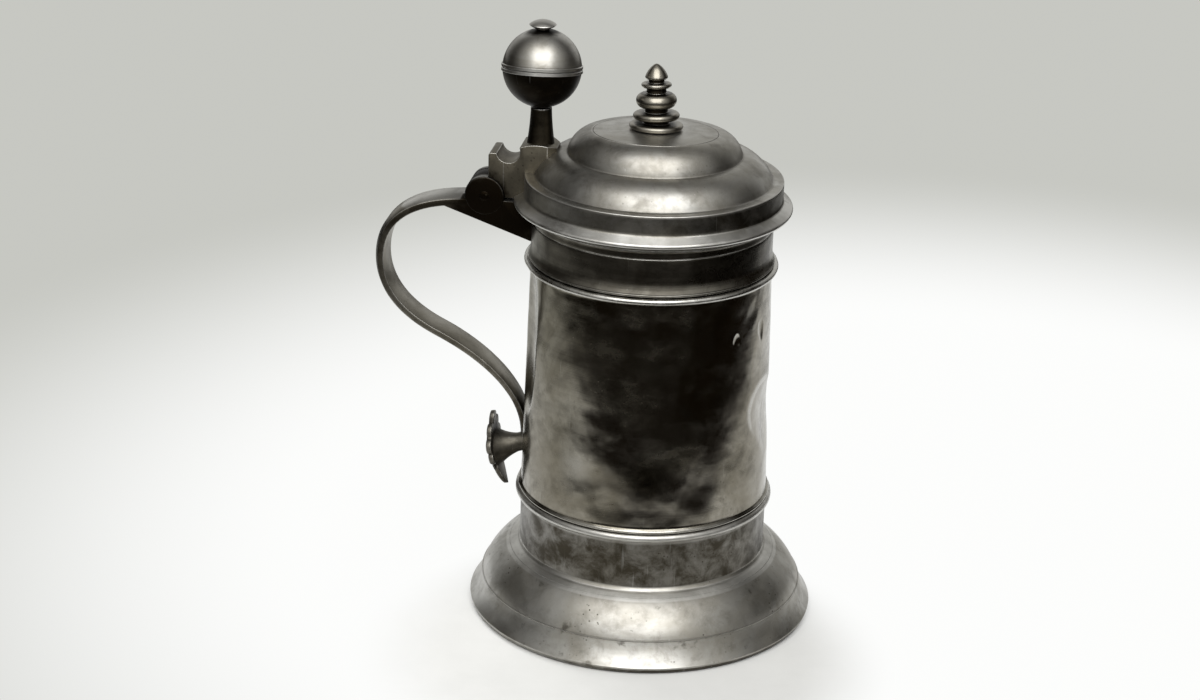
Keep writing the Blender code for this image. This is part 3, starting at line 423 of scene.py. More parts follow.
class Pen:
    """Draws a profile stroke by stroke, as a chain of edges in the plane of radius and height."""

    def __init__(self, radius, height):
        self.shape = bmesh.new()
        self.skin = skin_layer(self.shape)
        self.tip = self.shape.verts.new((radius, 0, height))
        self.first = self.tip

    def to(self, radius, height, parts=1):
        """A straight stroke, cut into equal parts."""
        start = self.tip.co.copy()
        end = Vector((radius, 0, height))
        for part in range(parts):
            made = bmesh.ops.extrude_vert_indiv(self.shape, verts=[self.tip])
            self.tip = made["verts"][0]
            self.tip.co = start.lerp(end, (part + 1) / parts)
        return self

    def swing(self, centre, angle, parts):
        """A stroke round a centre, clockwise for a positive angle."""
        made = bmesh.ops.spin(
            self.shape, geom=[self.tip], cent=centre, axis=(0, 1, 0), angle=angle, steps=parts
        )
        self.tip = next(item for item in made["geom_last"] if isinstance(item, bmesh.types.BMVert))
        return self

    def bow(self, radius, height, rise, parts=10, part=1.0):
        """A stroke along an arc that rises to the left of the straight way, or along the first part of it."""
        start = self.tip.co.copy()
        end = Vector((radius, 0, height))
        way = end - start
        left = Vector((-way.z, 0, way.x)).normalized()
        reach = (way.length_squared / 4 + rise * rise) / (2 * rise)
        centre = (start + end) / 2 + left * (rise - reach)
        return self.swing(centre, 4 * part * math.atan(2 * rise / way.length), parts)

    def bead(self, radius, height, size, first, last, parts=10):
        """A straight stroke to a bead, and then round it between two angles in degrees."""
        angle = math.radians(first)
        self.to(radius + size * math.cos(angle), height + size * math.sin(angle))
        return self.swing(Vector((radius, 0, height)), math.radians(first - last), parts)

    def groove(self, depth):
        """A fine line, cut into the metal to the right of the last stroke, or raised for a depth below 0."""
        start = self.tip.co.copy()
        on = (start - self.tip.link_edges[0].other_vert(self.tip).co).normalized() * abs(depth)
        bottom = start + on + Vector((on.z, 0, -on.x)) * math.copysign(1, depth)
        end = start + 2 * on
        return self.to(bottom.x, bottom.z).to(end.x, end.z)

    def close(self):
        self.shape.edges.new((self.tip, self.first))
        return self


def made_verts(made):
    return [item for item in made["geom"] if isinstance(item, bmesh.types.BMVert)]


def made_edges(made):
    return [item for item in made["geom"] if isinstance(item, bmesh.types.BMEdge)]


def weld(shape):
    """Merges doubles and turns all faces outwards."""
    bmesh.ops.remove_doubles(shape, verts=shape.verts, dist=WELD)
    bmesh.ops.recalc_face_normals(shape, faces=shape.faces)
    return shape


def turned(pen, steps=ROUND):
    """The pen's profile spun once round the upright axis."""
    shape = pen.shape
    geom = shape.verts[:] + shape.edges[:]
    bmesh.ops.spin(shape, geom=geom, axis=(0, 0, 1), angle=math.tau, steps=steps, use_merge=True)
    return weld(shape)


def fill_ends(shape):
    bmesh.ops.holes_fill(shape, edges=[edge for edge in shape.edges if edge.is_boundary])
    return weld(shape)


def slab(pen, width):
    """The pen's closed outline as a plate, centred across the hinge axis."""
    shape = pen.shape
    bmesh.ops.translate(shape, verts=shape.verts, vec=(0, -width / 2, 0))
    made = bmesh.ops.extrude_edge_only(shape, edges=shape.edges)
    bmesh.ops.translate(shape, verts=made_verts(made), vec=(0, width, 0))
    return fill_ends(shape)


def barrel(radius, long, middle, steps=SMALL_ROUND):
    """A cylinder along the hinge axis, centred at a distance along it."""
    shape = bmesh.new()
    place = Matrix.Translation((HINGE.x, middle, HINGE.z)) @ Matrix.Rotation(math.radians(90), 4, "X")
    bmesh.ops.create_cone(
        shape, cap_ends=True, segments=steps, radius1=radius, radius2=radius, depth=long, matrix=place
    )
    return shape


def soften(shape, size, segments=2, limit=math.radians(28)):
    """Rounds every edge that is sharper than the limit."""
    edges = [edge for edge in shape.edges if edge.is_manifold and edge.calc_face_angle() > limit]
    return round_off(shape, edges, size, segments)


def soften_ring(shape, radius, height, size):
    """Rounds one ring of a turned shape."""
    ring = set()
    for corner in shape.verts:
        if abs(corner.co.xy.length - radius) < WELD and abs(corner.co.z - height) < WELD:
            ring.add(corner)
    edges = [edge for edge in shape.edges if ring.issuperset(edge.verts)]
    if not edges:
        raise RuntimeError("a turned shape has no ring at that place")
    return round_off(shape, edges, size, segments=5)


def round_off(shape, edges, size, segments):
    bmesh.ops.bevel(
        shape,
        geom=edges,
        offset=size,
        offset_type="OFFSET",
        segments=segments,
        profile=0.5,
        affect="EDGES",
        material=-1,
        clamp_overlap=True,
    )
    return shape


def joined(first, second, operation):
    """Two closed shapes as one: UNION solders them, DIFFERENCE cuts the second out of the first."""
    holders = []
    for shape in (first, second):
        mesh = bpy.data.meshes.new("bench")
        shape.to_mesh(mesh)
        shape.free()
        holder = bpy.data.objects.new("bench", mesh)
        bpy.context.scene.collection.objects.link(holder)
        holders.append(holder)
    boolean = holders[0].modifiers.new("joint", "BOOLEAN")
    boolean.operation = operation
    boolean.object = holders[1]
    result = bmesh.new()
    result.from_object(holders[0], bpy.context.evaluated_depsgraph_get())
    for holder in holders:
        mesh = holder.data
        bpy.data.objects.remove(holder)
        bpy.data.meshes.remove(mesh)
    if not result.faces:
        raise RuntimeError("two shapes could not be joined")
    return weld(result)


def skin_layer(shape):
    layers = shape.verts.layers.float
    return layers.get("skin") or layers.new("skin")


def dent_ways(corner, dent):
    """How far a corner lies from a dent's middle, round the axis and upwards, as shares of its reach."""
    angle, height, wide, tall = dent[:4]
    bearing = math.degrees(math.atan2(corner.co.y, corner.co.x))
    round_way = math.radians((bearing - angle + 180) % 360 - 180) * corner.co.xy.length
    return round_way / wide, (corner.co.z - height) / tall


def dent_away(round_way, up_way, phase):
    """How far a place lies from a dent's middle, as a share of the dent's uneven outline."""
    turn = math.atan2(up_way, round_way)
    outline = 1
    for count, size, shift in OUTLINE_WAVES:
        outline += size * math.sin(count * turn + shift * phase)
    return math.hypot(round_way, up_way) / outline


def press_dents(shape, dents):
    """Presses dents into a turned wall, towards its axis, and paints a highlight along the crease on one side
    of each dent.
    """
    skin = skin_layer(shape)
    for corner in shape.verts:
        outwards = Vector((corner.co.x, corner.co.y, 0)).normalized()
        for dent in dents:
            angle, wide, depth, softness, side = dent[0], dent[2], *dent[4:]
            round_way, up_way = dent_ways(corner, dent)
            away = dent_away(round_way, up_way, angle)
            if away < 1:
                corner.co -= outwards * (depth * (1 - away * away) ** softness)
            if side * round_way > 0 and up_way > -CREASE_FOOT:
                rim = (away - 1) * wide / min(CREASE_WIDTH, CREASE_SHARE * wide)
                growth = min((up_way + CREASE_FOOT) / CREASE_GROWTH, 1.0)
                corner[skin] = min(corner[skin], -(CREASE_HIGHLIGHT * math.exp(-rim * rim) * growth))


def mark_stains(shape, stains):
    """Marks soft stains on a turned wall."""
    skin = skin_layer(shape)
    for corner in shape.verts:
        for stain in stains:
            angle, darkness = stain[0], stain[4]
            away = dent_away(*dent_ways(corner, stain), angle)
            if away < 1 and corner[skin] >= 0:
                corner[skin] += darkness * (1 - away * away) ** STAIN_SOFTNESS


def refine(shape, dents, wall):
    """Cuts the outside of a wall finer round its smallest dents."""
    for dent in dents:
        if dent[2] < SMALL_DENT:
            near = set()
            for corner in shape.verts:
                round_way, up_way = dent_ways(corner, dent)
                inside = abs(round_way) < FINE_REACH[0] and abs(up_way) < FINE_REACH[1]
                if inside and corner.co.xy.length > wall:
                    near.add(corner)
            edges = [edge for edge in shape.edges if near.issuperset(edge.verts)]
            bmesh.ops.subdivide_edges(shape, edges=edges, cuts=FINE_CUTS, use_grid_fill=True)


def ripple(shape, size, depth):
    """Makes a turned wall slightly uneven, as handwork and use leave it."""
    finer, share_of_finer = 2.3, 0.5
    for corner in shape.verts:
        outwards = Vector((corner.co.x, corner.co.y, 0))
        if outwards.length > size:
            uneven = noise.noise(corner.co / size) + share_of_finer * noise.noise(corner.co * finer / size)
            corner.co += outwards.normalized() * (uneven * depth)


def measure_wear_and_shade(shape, reach):
    """Stores how sharply the metal turns at each corner, above 0 on ridges, and how deep it sits in gaps,
    which the material paints as shade.
    """
    relief = shape.verts.layers.float.new("relief")
    shelter = shape.verts.layers.float.new("shelter")
    shape.normal_update()
    tree = BVHTree.FromBMesh(shape)
    for corner in shape.verts:
        bends = [0.0]
        for edge in corner.link_edges:
            if len(edge.link_faces) == 2:
                first, second = edge.link_faces
                span = (first.calc_center_median() - second.calc_center_median()).length
                bends.append(edge.calc_face_angle_signed(0.0) / max(span, LEAST_SPAN))
        corner[relief] = max(bends) + min(bends)
        start = corner.co + corner.normal * SHELTER_LIFT
        aside = corner.normal.orthogonal()
        hits = 0
        for ray in range(SHELTER_RAYS):
            around = Matrix.Rotation(math.tau * ray / SHELTER_RAYS, 3, corner.normal)
            way = corner.normal + around @ aside * SHELTER_SLANTS[ray % 2]
            hits += tree.ray_cast(start, way, reach)[0] is not None
        corner[shelter] = hits / SHELTER_RAYS


def mark_skin_and_shade(shape, inside, outside, low, high, amount, swing=0.0):
    """Marks a band of a turned shape between two radii and two heights.

    Above 0 the band is darkened and below 0 it is lightened: some bands are kept skin and rubbed metal, and
    some are painted shade and painted highlights. The swing adds darkness on the side away from the handle.
    """
    skin = skin_layer(shape)
    for corner in shape.verts:
        radius = corner.co.xy.length
        if inside < radius < outside and low < corner.co.z < high:
            corner[skin] = amount + swing * corner.co.x / radius


def set_piece(name, shape, material, body, nodes, offset=(AXIS_X, 0, 0), reach=SHELTER_REACH):
    """Makes a finished shape a piece of the tankard, in its place on its body."""
    if not shape.faces:
        raise RuntimeError(name + " has no faces")
    bmesh.ops.translate(shape, verts=shape.verts, vec=offset)
    weld(shape)
    measure_wear_and_shade(shape, reach)
    mesh = bpy.data.meshes.new(name)
    shape.to_mesh(mesh)
    shape.free()
    mesh.shade_smooth()
    mesh.set_sharp_from_angle(angle=CREASE)
    mesh.materials.append(material)
    piece = bpy.data.objects.new(name, mesh)
    bpy.context.scene.collection.objects.link(piece)
    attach(piece, body)
    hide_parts(*nodes)
    return piece


def wire(tree, kind, sockets=None, **settings):
    """Adds a node, sets its options, and sets or joins its sockets."""
    node = tree.nodes.new(kind)
    for name, value in settings.items():
        setattr(node, name, value)
    for socket, value in (sockets or {}).items():
        if isinstance(value, bpy.types.NodeSocket):
            tree.links.new(value, node.inputs[socket])
        else:
            node.inputs[socket].default_value = value
    return node


def fade(tree, value, low, high, first=0.0, last=1.0):
    """A smooth step from first to last as value goes from low to high."""
    sockets = {"Value": value, "From Min": low, "From Max": high, "To Min": first, "To Max": last}
    return wire(tree, "ShaderNodeMapRange", sockets, interpolation_type="SMOOTHSTEP").outputs["Result"]


def sums(tree, operation, first, second):
    """Two values added, multiplied or otherwise taken together."""
    return wire(tree, "ShaderNodeMath", {0: first, 1: second}, operation=operation).outputs[0]


def plus(tree, value, extra, amount):
    """The value with a share of the extra added, or taken off for an amount below 0."""
    return sums(tree, "ADD", value, sums(tree, "MULTIPLY", extra, amount))


def gauge(tree, operation, first, second):
    """One measure taken from two vectors, such as their distance."""
    return wire(tree, "ShaderNodeVectorMath", {0: first, 1: second}, operation=operation).outputs["Value"]


def mapped(tree, place, **moves):
    """The place moved, turned or stretched."""
    return wire(tree, "ShaderNodeMapping", {"Vector": place, **moves}).outputs["Vector"]


def tint(tree, factor, first, second):
    """A colour that goes from first to second with the factor."""
    sockets = {0: factor, 6: first, 7: second}
    return wire(tree, "ShaderNodeMix", sockets, data_type="RGBA").outputs[2]


def cloud(tree, place, scale, detail, rough, twist=0.0):
    """Soft noise at a scale."""
    sockets = {"Vector": place, "Scale": scale, "Detail": detail, "Roughness": rough, "Distortion": twist}
    return wire(tree, "ShaderNodeTexNoise", sockets).outputs["Fac"]


def line_cloud(tree, along, scale):
    """Noise that changes along one measure only, as turning marks do."""
    sockets = {"W": along, "Scale": scale, "Detail": 3.0}
    return wire(tree, "ShaderNodeTexNoise", sockets, noise_dimensions="1D").outputs["Fac"]


def opaque(colour, shade=1.0):
    """A tone as a socket takes it, darker for a shade below 1."""
    return (*(shade * channel for channel in colour), 1.0)


def pewter(name, axis=AXIS_X, grime_and_shade=None):
    """Old pewter: clean metal under a grey skin, with turning lines, stains, pits and rubbed edges.

    The turning lines run round an upright axis, and the last argument is a place with the reach of a
    darkening
    around it: dirt round the hinge, painted shade round the bracket and under the button, and a darkening
    round the shield.
    """
    tones = bpy.context.scene.tankard_tones
    clean_name, skin_name, rough, patina, pits, rings, waves, haze = FINISHES[name]
    clean, skin = getattr(tones, clean_name), getattr(tones, skin_name)
    dark, soot_and_shade = opaque(tones.dark), opaque(tones.soot_and_shade)
    material = bpy.data.materials.new(name)
    material.use_nodes = True
    tree = material.node_tree
    shader = tree.nodes["Principled BSDF"]
    shader.inputs["Metallic"].default_value = 1.0

    # Turning lines, clouds, grain, pits and scratches
    place = wire(tree, "ShaderNodeTexCoord").outputs["Object"]
    centred = mapped(tree, place, Location=(-axis, 0, 0))
    flat = wire(tree, "ShaderNodeVectorMath", {0: centred, 1: (1, 1, 0)}, operation="MULTIPLY").outputs[0]
    radius = wire(tree, "ShaderNodeVectorMath", {0: flat}, operation="LENGTH").outputs["Value"]
    height = wire(tree, "ShaderNodeSeparateXYZ", {"Vector": centred}).outputs["Z"]
    along = sums(tree, "ADD", radius, height)
    fine_rings = line_cloud(tree, along, 2600)
    broad_rings = line_cloud(tree, along, 420)
    broad = cloud(tree, place, 24, 6, 0.62, 0.5)
    mottle = cloud(tree, place, 85, 7, 0.68, 0.3)
    swells = cloud(tree, place, 46, 2, 0.45, 0.3)
    grain = cloud(tree, place, 900, 4, 0.6)
    low_clouds = cloud(tree, mapped(tree, place, Scale=(1, 1, 1.7)), 58, 8, 0.66, 0.25)
    sparse = fade(tree, cloud(tree, place, 55, 3, 0.5), 0.50, 0.66)
    cells = wire(tree, "ShaderNodeTexVoronoi", {"Vector": place, "Scale": 420.0}).outputs["Distance"]
    spots = sums(tree, "MULTIPLY", fade(tree, cells, 0.10, 0.22, 1.0, 0.0), sparse)
    spots = sums(tree, "MULTIPLY", spots, pits)
    long_way = mapped(tree, place, Rotation=(0.3, 0.5, 0.2), Scale=(900, 900, 30))
    scratch = fade(tree, cloud(tree, long_way, 1.0, 2, 0.5), 0.68, 0.78)

    # Marks the mesh carries: ridges rubbed bright, painted shade in gaps and grooves, and skin marks, kept or
    # rubbed off, some of them painted shade and highlights
    wear_and_shade = {
        layer: wire(tree, "ShaderNodeAttribute", attribute_name=layer).outputs["Fac"]
        for layer in ("relief", "shelter", "skin")
    }
    rubbed = fade(tree, wear_and_shade["relief"], 300, 2200)
    # Painted shade: grooves, and corners that nearby metal covers, are tinted near black
    hollow = fade(tree, wear_and_shade["relief"], -200, -1800, 0.0, 0.35)
    hollow = sums(tree, "MAXIMUM", hollow, fade(tree, wear_and_shade["shelter"], 0.40, 0.80, 0.0, 0.95))
    # Skin marks: kept skin and painted shade above 0, rubbed metal and painted highlights below 0
    skin_and_shade = sums(tree, "MULTIPLY", wear_and_shade["skin"], fade(tree, mottle, 0.28, 0.72, 0.45, 0.95))
    rubbed_and_highlit = fade(tree, wear_and_shade["skin"], 0.0, -1.0)
    rubbed_and_highlit = sums(tree, "MULTIPLY", rubbed_and_highlit, fade(tree, mottle, 0.30, 0.60, 1.0, 0.6))
    worn = sums(tree, "MULTIPLY", rubbed, fade(tree, mottle, 0.30, 0.60, 0.8, 0.3))
    worn = sums(tree, "MAXIMUM", worn, sums(tree, "MULTIPLY", scratch, 0.25))
    worn = sums(tree, "MAXIMUM", worn, rubbed_and_highlit)

    # Colour, from the clean metal up to the dirt, the painted shade and the rubbed places
    stain = fade(tree, mottle, 0.44, 0.72, 0.0, 0.85 * patina)
    oxide = fade(tree, low_clouds, 0.43, 0.72, 0.0, haze)
    blot = fade(tree, cloud(tree, place, 95, 5, 0.6, 0.2), 0.60, 0.72, 0.0, 0.7 * pits)
    colour = opaque(clean)
    for amount, coat in (
        (fade(tree, broad, 0.36, 0.66, 0.0, patina), opaque(skin)),
        (stain, opaque(skin, 0.6)),
        (fade(tree, broad_rings, 0.42, 0.62, 0.0, 0.3 * rings), opaque(skin)),
        (sums(tree, "MULTIPLY", oxide, 0.5), opaque(skin, 0.5)),
        (skin_and_shade, dark),
        (sums(tree, "MAXIMUM", blot, spots), dark),
        (hollow, soot_and_shade),
        (worn, opaque(tones.rubbed)),
    ):
        colour = tint(tree, amount, colour, coat)

    # Gloss: stains, oxide and dirt dull the metal, and rubbing polishes it
    gloss = fade(tree, broad, 0.30, 0.70, rough - 0.03, rough + 0.07)
    for cause, dulling in ((stain, 0.05), (oxide, 0.26), (hollow, 0.20), (worn, -0.06), (grain, 0.05)):
        gloss = plus(tree, gloss, cause, dulling)
    gloss = sums(tree, "MAXIMUM", gloss, sums(tree, "MULTIPLY", rubbed_and_highlit, 0.42))
    # Darkening round the given place: dirt at the hinge, painted shade at the bracket and under the button
    if grime_and_shade:
        centre, reach = grime_and_shade
        away = gauge(tree, "DISTANCE", place, centre)
        away = sums(tree, "ADD", away, fade(tree, mottle, 0.30, 0.70, -0.15 * reach, 0.15 * reach))
        dirt = fade(tree, away, 0.60 * reach, 1.1 * reach, 0.97, 0.0)
        dirt = sums(tree, "MULTIPLY", dirt, fade(tree, worn, 0.0, 1.0, 1.0, 0.4))
        colour = tint(tree, dirt, colour, soot_and_shade)
        gloss = plus(tree, gloss, dirt, 0.12)
    tree.links.new(colour, shader.inputs["Base Color"])
    tree.links.new(gloss, shader.inputs["Roughness"])

    # Relief: turning lines, grain, pits and scratches on slow waves
    surface = sums(tree, "MULTIPLY", sums(tree, "ADD", fine_rings, broad_rings), rings)
    for cause, rise in ((grain, 0.35), (spots, -1.5), (scratch, -0.3)):
        surface = plus(tree, surface, cause, rise)
    fine = wire(tree, "ShaderNodeBump", {"Height": surface, "Strength": 0.35, "Distance": 0.00006})
    normal = {"Height": swells, "Strength": 1.0, "Distance": waves, "Normal": fine.outputs["Normal"]}
    uneven = wire(tree, "ShaderNodeBump", normal)
    tree.links.new(uneven.outputs["Normal"], shader.inputs["Normal"])
    return material


def foot_pen(v):
    """Closed profile of the foot: bead, band, hollow shoulder, swelling flare, edge and the inside."""
    inner = v.drum_foot_radius - v.wall
    shoulder = (v.drum_foot_radius + v.shoulder, v.foot_height)
    scribe = (v.foot_radius - v.scribe_inset, v.scribe_height)
    cut = v.scribe_depth
    run = Vector((scribe[0] - shoulder[0], scribe[1] - shoulder[1])).normalized()
    inset = Vector((run.y, -run.x)) * v.wall
    pen = Pen(inner + v.wall / 2, v.lower_seam)
    bead_radius = v.drum_foot_radius + v.lower_bead_proud - v.lower_bead
    pen.bead(bead_radius, v.lower_seam - v.lower_bead, v.lower_bead, 90, -80, 16)
    under_bead = v.lower_seam - 2 * v.lower_bead - v.neck
    pen.to(v.drum_foot_radius, under_bead)
    pen.to(v.drum_foot_radius, v.foot_height + v.shoulder, 16)
    pen.bow(*shoulder, -v.shoulder_hollow, 8)
    upper = 0.12
    pen.bow(*scribe, v.flare_swell, 4, part=upper).groove(0.5 * cut)
    pen.bow(*scribe, v.flare_swell * (1 - upper) ** 2, 26).groove(-1.3 * cut)
    pen.bow(v.foot_radius, v.edge_height, v.edge_swell, 10)
    pen.bow(v.foot_radius - v.edge_undercut, 0, 0.0003, 6)
    pen.to(v.foot_radius - v.foot_land, 0, 2)
    pen.to(scribe[0] + inset.x, scribe[1] + inset.y, 3)
    pen.bow(shoulder[0] + inset.x, shoulder[1] + inset.y, -v.flare_swell, 10)
    ledge_top = v.foot_height - v.floor_drop
    pen.to(inner - v.ledge, ledge_top - v.ledge_depth)
    pen.to(inner - v.ledge, ledge_top).to(inner, ledge_top)
    pen.to(inner, v.lower_seam - v.lap, 6).to(inner + v.wall / 2, v.lower_seam - v.lap)
    return pen.close()


def drum_pen(v):
    """Closed profile of the drum: upper bead, tapering wall, fine ridge and the inside."""
    inner_foot = v.drum_foot_radius - v.wall
    inner_top = v.drum_top_radius - v.wall
    bead_height = v.upper_seam - v.upper_bead
    pen = Pen(inner_top + v.wall / 2, v.upper_seam)
    bead_radius = v.drum_radius(bead_height) + v.upper_bead_proud - v.upper_bead
    pen.bead(bead_radius, bead_height, v.upper_bead, 90, -80, 14)
    under_bead = v.upper_seam - 2 * v.upper_bead - v.neck
    pen.to(v.drum_radius(under_bead), under_bead)
    over_ridge = v.lower_seam + v.seam + 2 * v.ridge + v.neck
    pen.to(v.drum_radius(over_ridge), over_ridge, 84)
    pen.bead(v.drum_foot_radius + v.ridge / 2, v.lower_seam + v.seam + v.ridge, v.ridge, 60, -90, 8)
    spigot = inner_foot + v.wall / 2 - v.seam
    spigot_end = v.lower_seam - v.lap + v.seam
    pen.to(spigot, v.lower_seam + v.seam).to(spigot, spigot_end).to(inner_foot, spigot_end)
    pen.to(inner_top, v.upper_seam - v.lap, 42).to(inner_top + v.wall / 2, v.upper_seam - v.lap)
    return pen.close()


def collar_pen(v):
    """Closed profile of the collar: lip with two scribed lines, plain wall, fine ridge and the inside."""
    inner = v.drum_top_radius - v.wall
    lip_foot = v.rim - v.lip_height
    cut = v.scribe_depth
    lip_round, lip_line, wall_line = 0.0007, 0.0018, 0.0030
    slope_top, slope_foot, slope_hollow, flare_hollow = 0.0006, 0.0004, 0.0002, 0.0003
    pen = Pen(inner, v.rim)
    pen.to(v.lip_radius - lip_round, v.rim, 2)
    pen.bow(v.lip_radius, v.rim - lip_round, slope_hollow, 4)
    pen.to(v.lip_radius, v.rim - lip_line).groove(cut)
    pen.to(v.lip_radius, lip_foot + slope_top)
    pen.bow(v.drum_top_radius, lip_foot - slope_foot, -slope_hollow, 4)
    pen.to(v.drum_top_radius, lip_foot - wall_line, 2).groove(0.7 * cut)
    over_ridge = v.upper_seam + v.seam + 2 * v.ridge
    pen.to(v.drum_top_radius, over_ridge + v.collar_flare_height, 8)
    pen.bow(v.drum_top_radius + v.collar_flare, over_ridge, -flare_hollow, 8)
    pen.bead(v.drum_top_radius + v.ridge / 2, over_ridge - v.ridge, v.ridge, 45, -90, 8)
    spigot = inner + v.wall / 2 - v.seam
    spigot_end = v.upper_seam - v.lap + v.seam
    pen.to(spigot, v.upper_seam + v.seam).to(spigot, spigot_end).to(inner, spigot_end)
    pen.to(inner, v.rim - 0.0004, 8)
    return pen.close()


def floor_pen(v):
    """Profile of the floor disc: slightly dished, with a scribed ring, and a chamfer at its edge."""
    radius = v.drum_foot_radius - v.wall - v.seam
    bottom = v.foot_height - v.floor_drop + v.seam
    top = bottom + v.floor_thickness
    ring = 0.6 * radius
    dish, ring_dish, line, chamfer = 0.0006, 0.0003, 0.0004, 0.0004
    pen = Pen(0, top - dish)
    pen.bow(ring, top - ring_dish, -0.0001, 10)
    pen.to(ring + line, top - 0.0005).to(ring + 2 * line, top - ring_dish)
    pen.to(radius - chamfer, top, 6).to(radius, top - chamfer).to(radius, bottom)
    return pen.to(0.3 * radius, bottom, 4).to(0, bottom)


class LidLevels:
    """Heights and radii of the lid, worked out from its sizes."""

    def __init__(self, v, s):
        self.flange = v.lip_radius + s.overhang
        self.bottom = v.rim + v.seam
        self.ledge = self.flange - s.band_inset
        self.ledge_height = self.bottom + s.band_height
        self.step = self.ledge - s.ledge_width
        self.valley = self.step - s.step_width
        self.valley_height = self.ledge_height + s.step_rise
        self.disc = self.valley - s.dome_width
        self.disc_height = self.valley_height + s.dome_rise
        self.crown = self.disc_height + s.crown_rise


def lid_pen(v, s):
    """Closed profile of the lid: disc, two swelling steps, ledge, band, flange and the hollow inside."""
    at = LidLevels(v, s)
    cut = v.scribe_depth
    line = at.disc - s.scribe_inset
    slope = s.crown_rise / (at.disc - s.seat)
    pen = Pen(s.tenon + v.seam, at.crown)
    pen.to(s.seat, at.crown, 3)
    pen.to(line, at.disc_height + slope * s.scribe_inset, 8).groove(cut)
    pen.to(at.disc, at.disc_height)
    pen.bow(at.valley, at.valley_height, s.dome_swell, 26)
    pen.bow(at.step, at.ledge_height, s.step_swell, 26)
    pen.to(at.ledge - s.ledge_edge, at.ledge_height, 4)
    pen.bow(at.ledge, at.ledge_height - s.ledge_edge, 0.0001, 4)
    pen.to(at.ledge, at.bottom + s.flange_rise + 0.0005, 8)
    pen.bow(at.ledge + 0.0006, at.bottom + s.flange_rise - 0.0004, -0.0001, 4)
    pen.bead(at.flange - s.flange_edge, at.bottom + s.flange_edge, s.flange_edge, 55, -90, 14)
    mouth = v.drum_top_radius - v.wall / 2
    pen.to(mouth, at.bottom, 2).to(mouth, at.ledge_height - 2 * s.wall, 4)
    pen.to(at.step - s.wall, at.ledge_height - 1.2 * s.wall)
    pen.bow(at.valley - 0.9 * s.wall, at.valley_height - 0.7 * s.wall, -s.step_swell, 12)
    pen.bow(at.disc - 0.3 * s.wall, at.disc_height - s.wall, -0.9 * s.dome_swell, 12)
    pen.to(s.tenon + v.seam, at.crown - s.wall, 4)
    return pen.close()


def finial_pen(v, s):
    """Profile of the finial: beads of falling size on a base ring, with necks between them."""
    at = LidLevels(v, s)
    level = at.crown + v.seam
    fillet, neck_shade = 0.0004, 1.8
    pen = Pen(0, at.crown - s.wall)
    pen.to(s.tenon, at.crown - s.wall).to(s.tenon, level)
    # Radius and height of each bead, and the height and radius of the neck above it as shares of the usual
    beads = (
        (s.seat, s.seat_height, 1.1, 1.25),
        (s.ring, s.ring_height, 1.2, 1.1),
        (s.bulb, s.bulb_height, 1.5, 0.95),
        (s.collar, s.collar_height, 1.0, 0.75),
    )
    for radius, height, gap, waist in beads:
        half = height / 2
        start = set(pen.shape.verts)
        neck = min(radius - half, waist * s.neck)
        pen.to(radius - half, level)
        pen.swing(Vector((radius - half, 0, level + half)), -math.pi, 18)
        level += height
        pen.to(neck + fillet, level)
        pen.bow(neck, level + fillet, -0.0001, 3)
        level += gap * s.neck_height
        pen.to(neck, level)
        # Painted shade: within 0.8 of each bead's radius, on the necks and the beads' tops and undersides,
        # the metal is darkened
        for corner in set(pen.shape.verts) - start:
            corner[pen.skin] = neck_shade if corner.co.x < 0.8 * radius else 0.0
    pen.to(s.tip - 0.0006, level)
    pen.tip[pen.skin] = 0.0
    pen.bow(s.tip, level + s.tip_shoulder, -0.0002, 5)
    pen.bow(0.0009, level + s.tip_height - 0.0003, -s.tip_swell, 16)
    return pen.to(0, level + s.tip_height)


class TANKARD_OT_foot(bpy.types.Operator):
    """Turn the flared foot and the floor that lies in it"""

    bl_idname = "tankard.foot"
    bl_label = "Foot and floor"

    def execute(self, context):
        v = context.scene.tankard_vessel
        foot = turned(foot_pen(v))
        soften_ring(foot, v.drum_foot_radius + v.shoulder, v.foot_height, SHOULDER_ROUND)
        soften(foot, TURNED_EDGE)
        ripple(foot, size=0.030, depth=0.00010)
        band = v.drum_foot_radius + PROUD
        bead = v.lower_seam - 2 * v.lower_bead
        mark_skin_and_shade(foot, band - 2 * PROUD, band, v.foot_height + v.shoulder, bead - v.lower_bead, 1.15)
        mark_skin_and_shade(foot, band, FAR, bead, v.lower_seam, -0.6)
        # Painted highlight: the hollow of the shoulder is lightened
        shoulder = (v.drum_foot_radius + 0.4 * v.shoulder, v.drum_foot_radius + 3 * v.shoulder)
        mark_skin_and_shade(foot, *shoulder, v.foot_height - v.shoulder, v.foot_height + v.shoulder, -0.7)
        # Painted contact shadow: the lowest band of the foot darkens, most on the side away from the handle
        mark_skin_and_shade(foot, v.foot_radius - v.foot_land, FAR, -FAR, 0.8 * v.edge_height, 1.2, swing=0.9)
        set_piece("turned_foot", foot, pewter("foot_metal"), "vessel", ["foot"])
        floor = soften(turned(floor_pen(v)), TURNED_EDGE)
        set_piece("dished_floor", floor, pewter("floor_metal"), "vessel", ["floor_disc"])
        return {"FINISHED"}


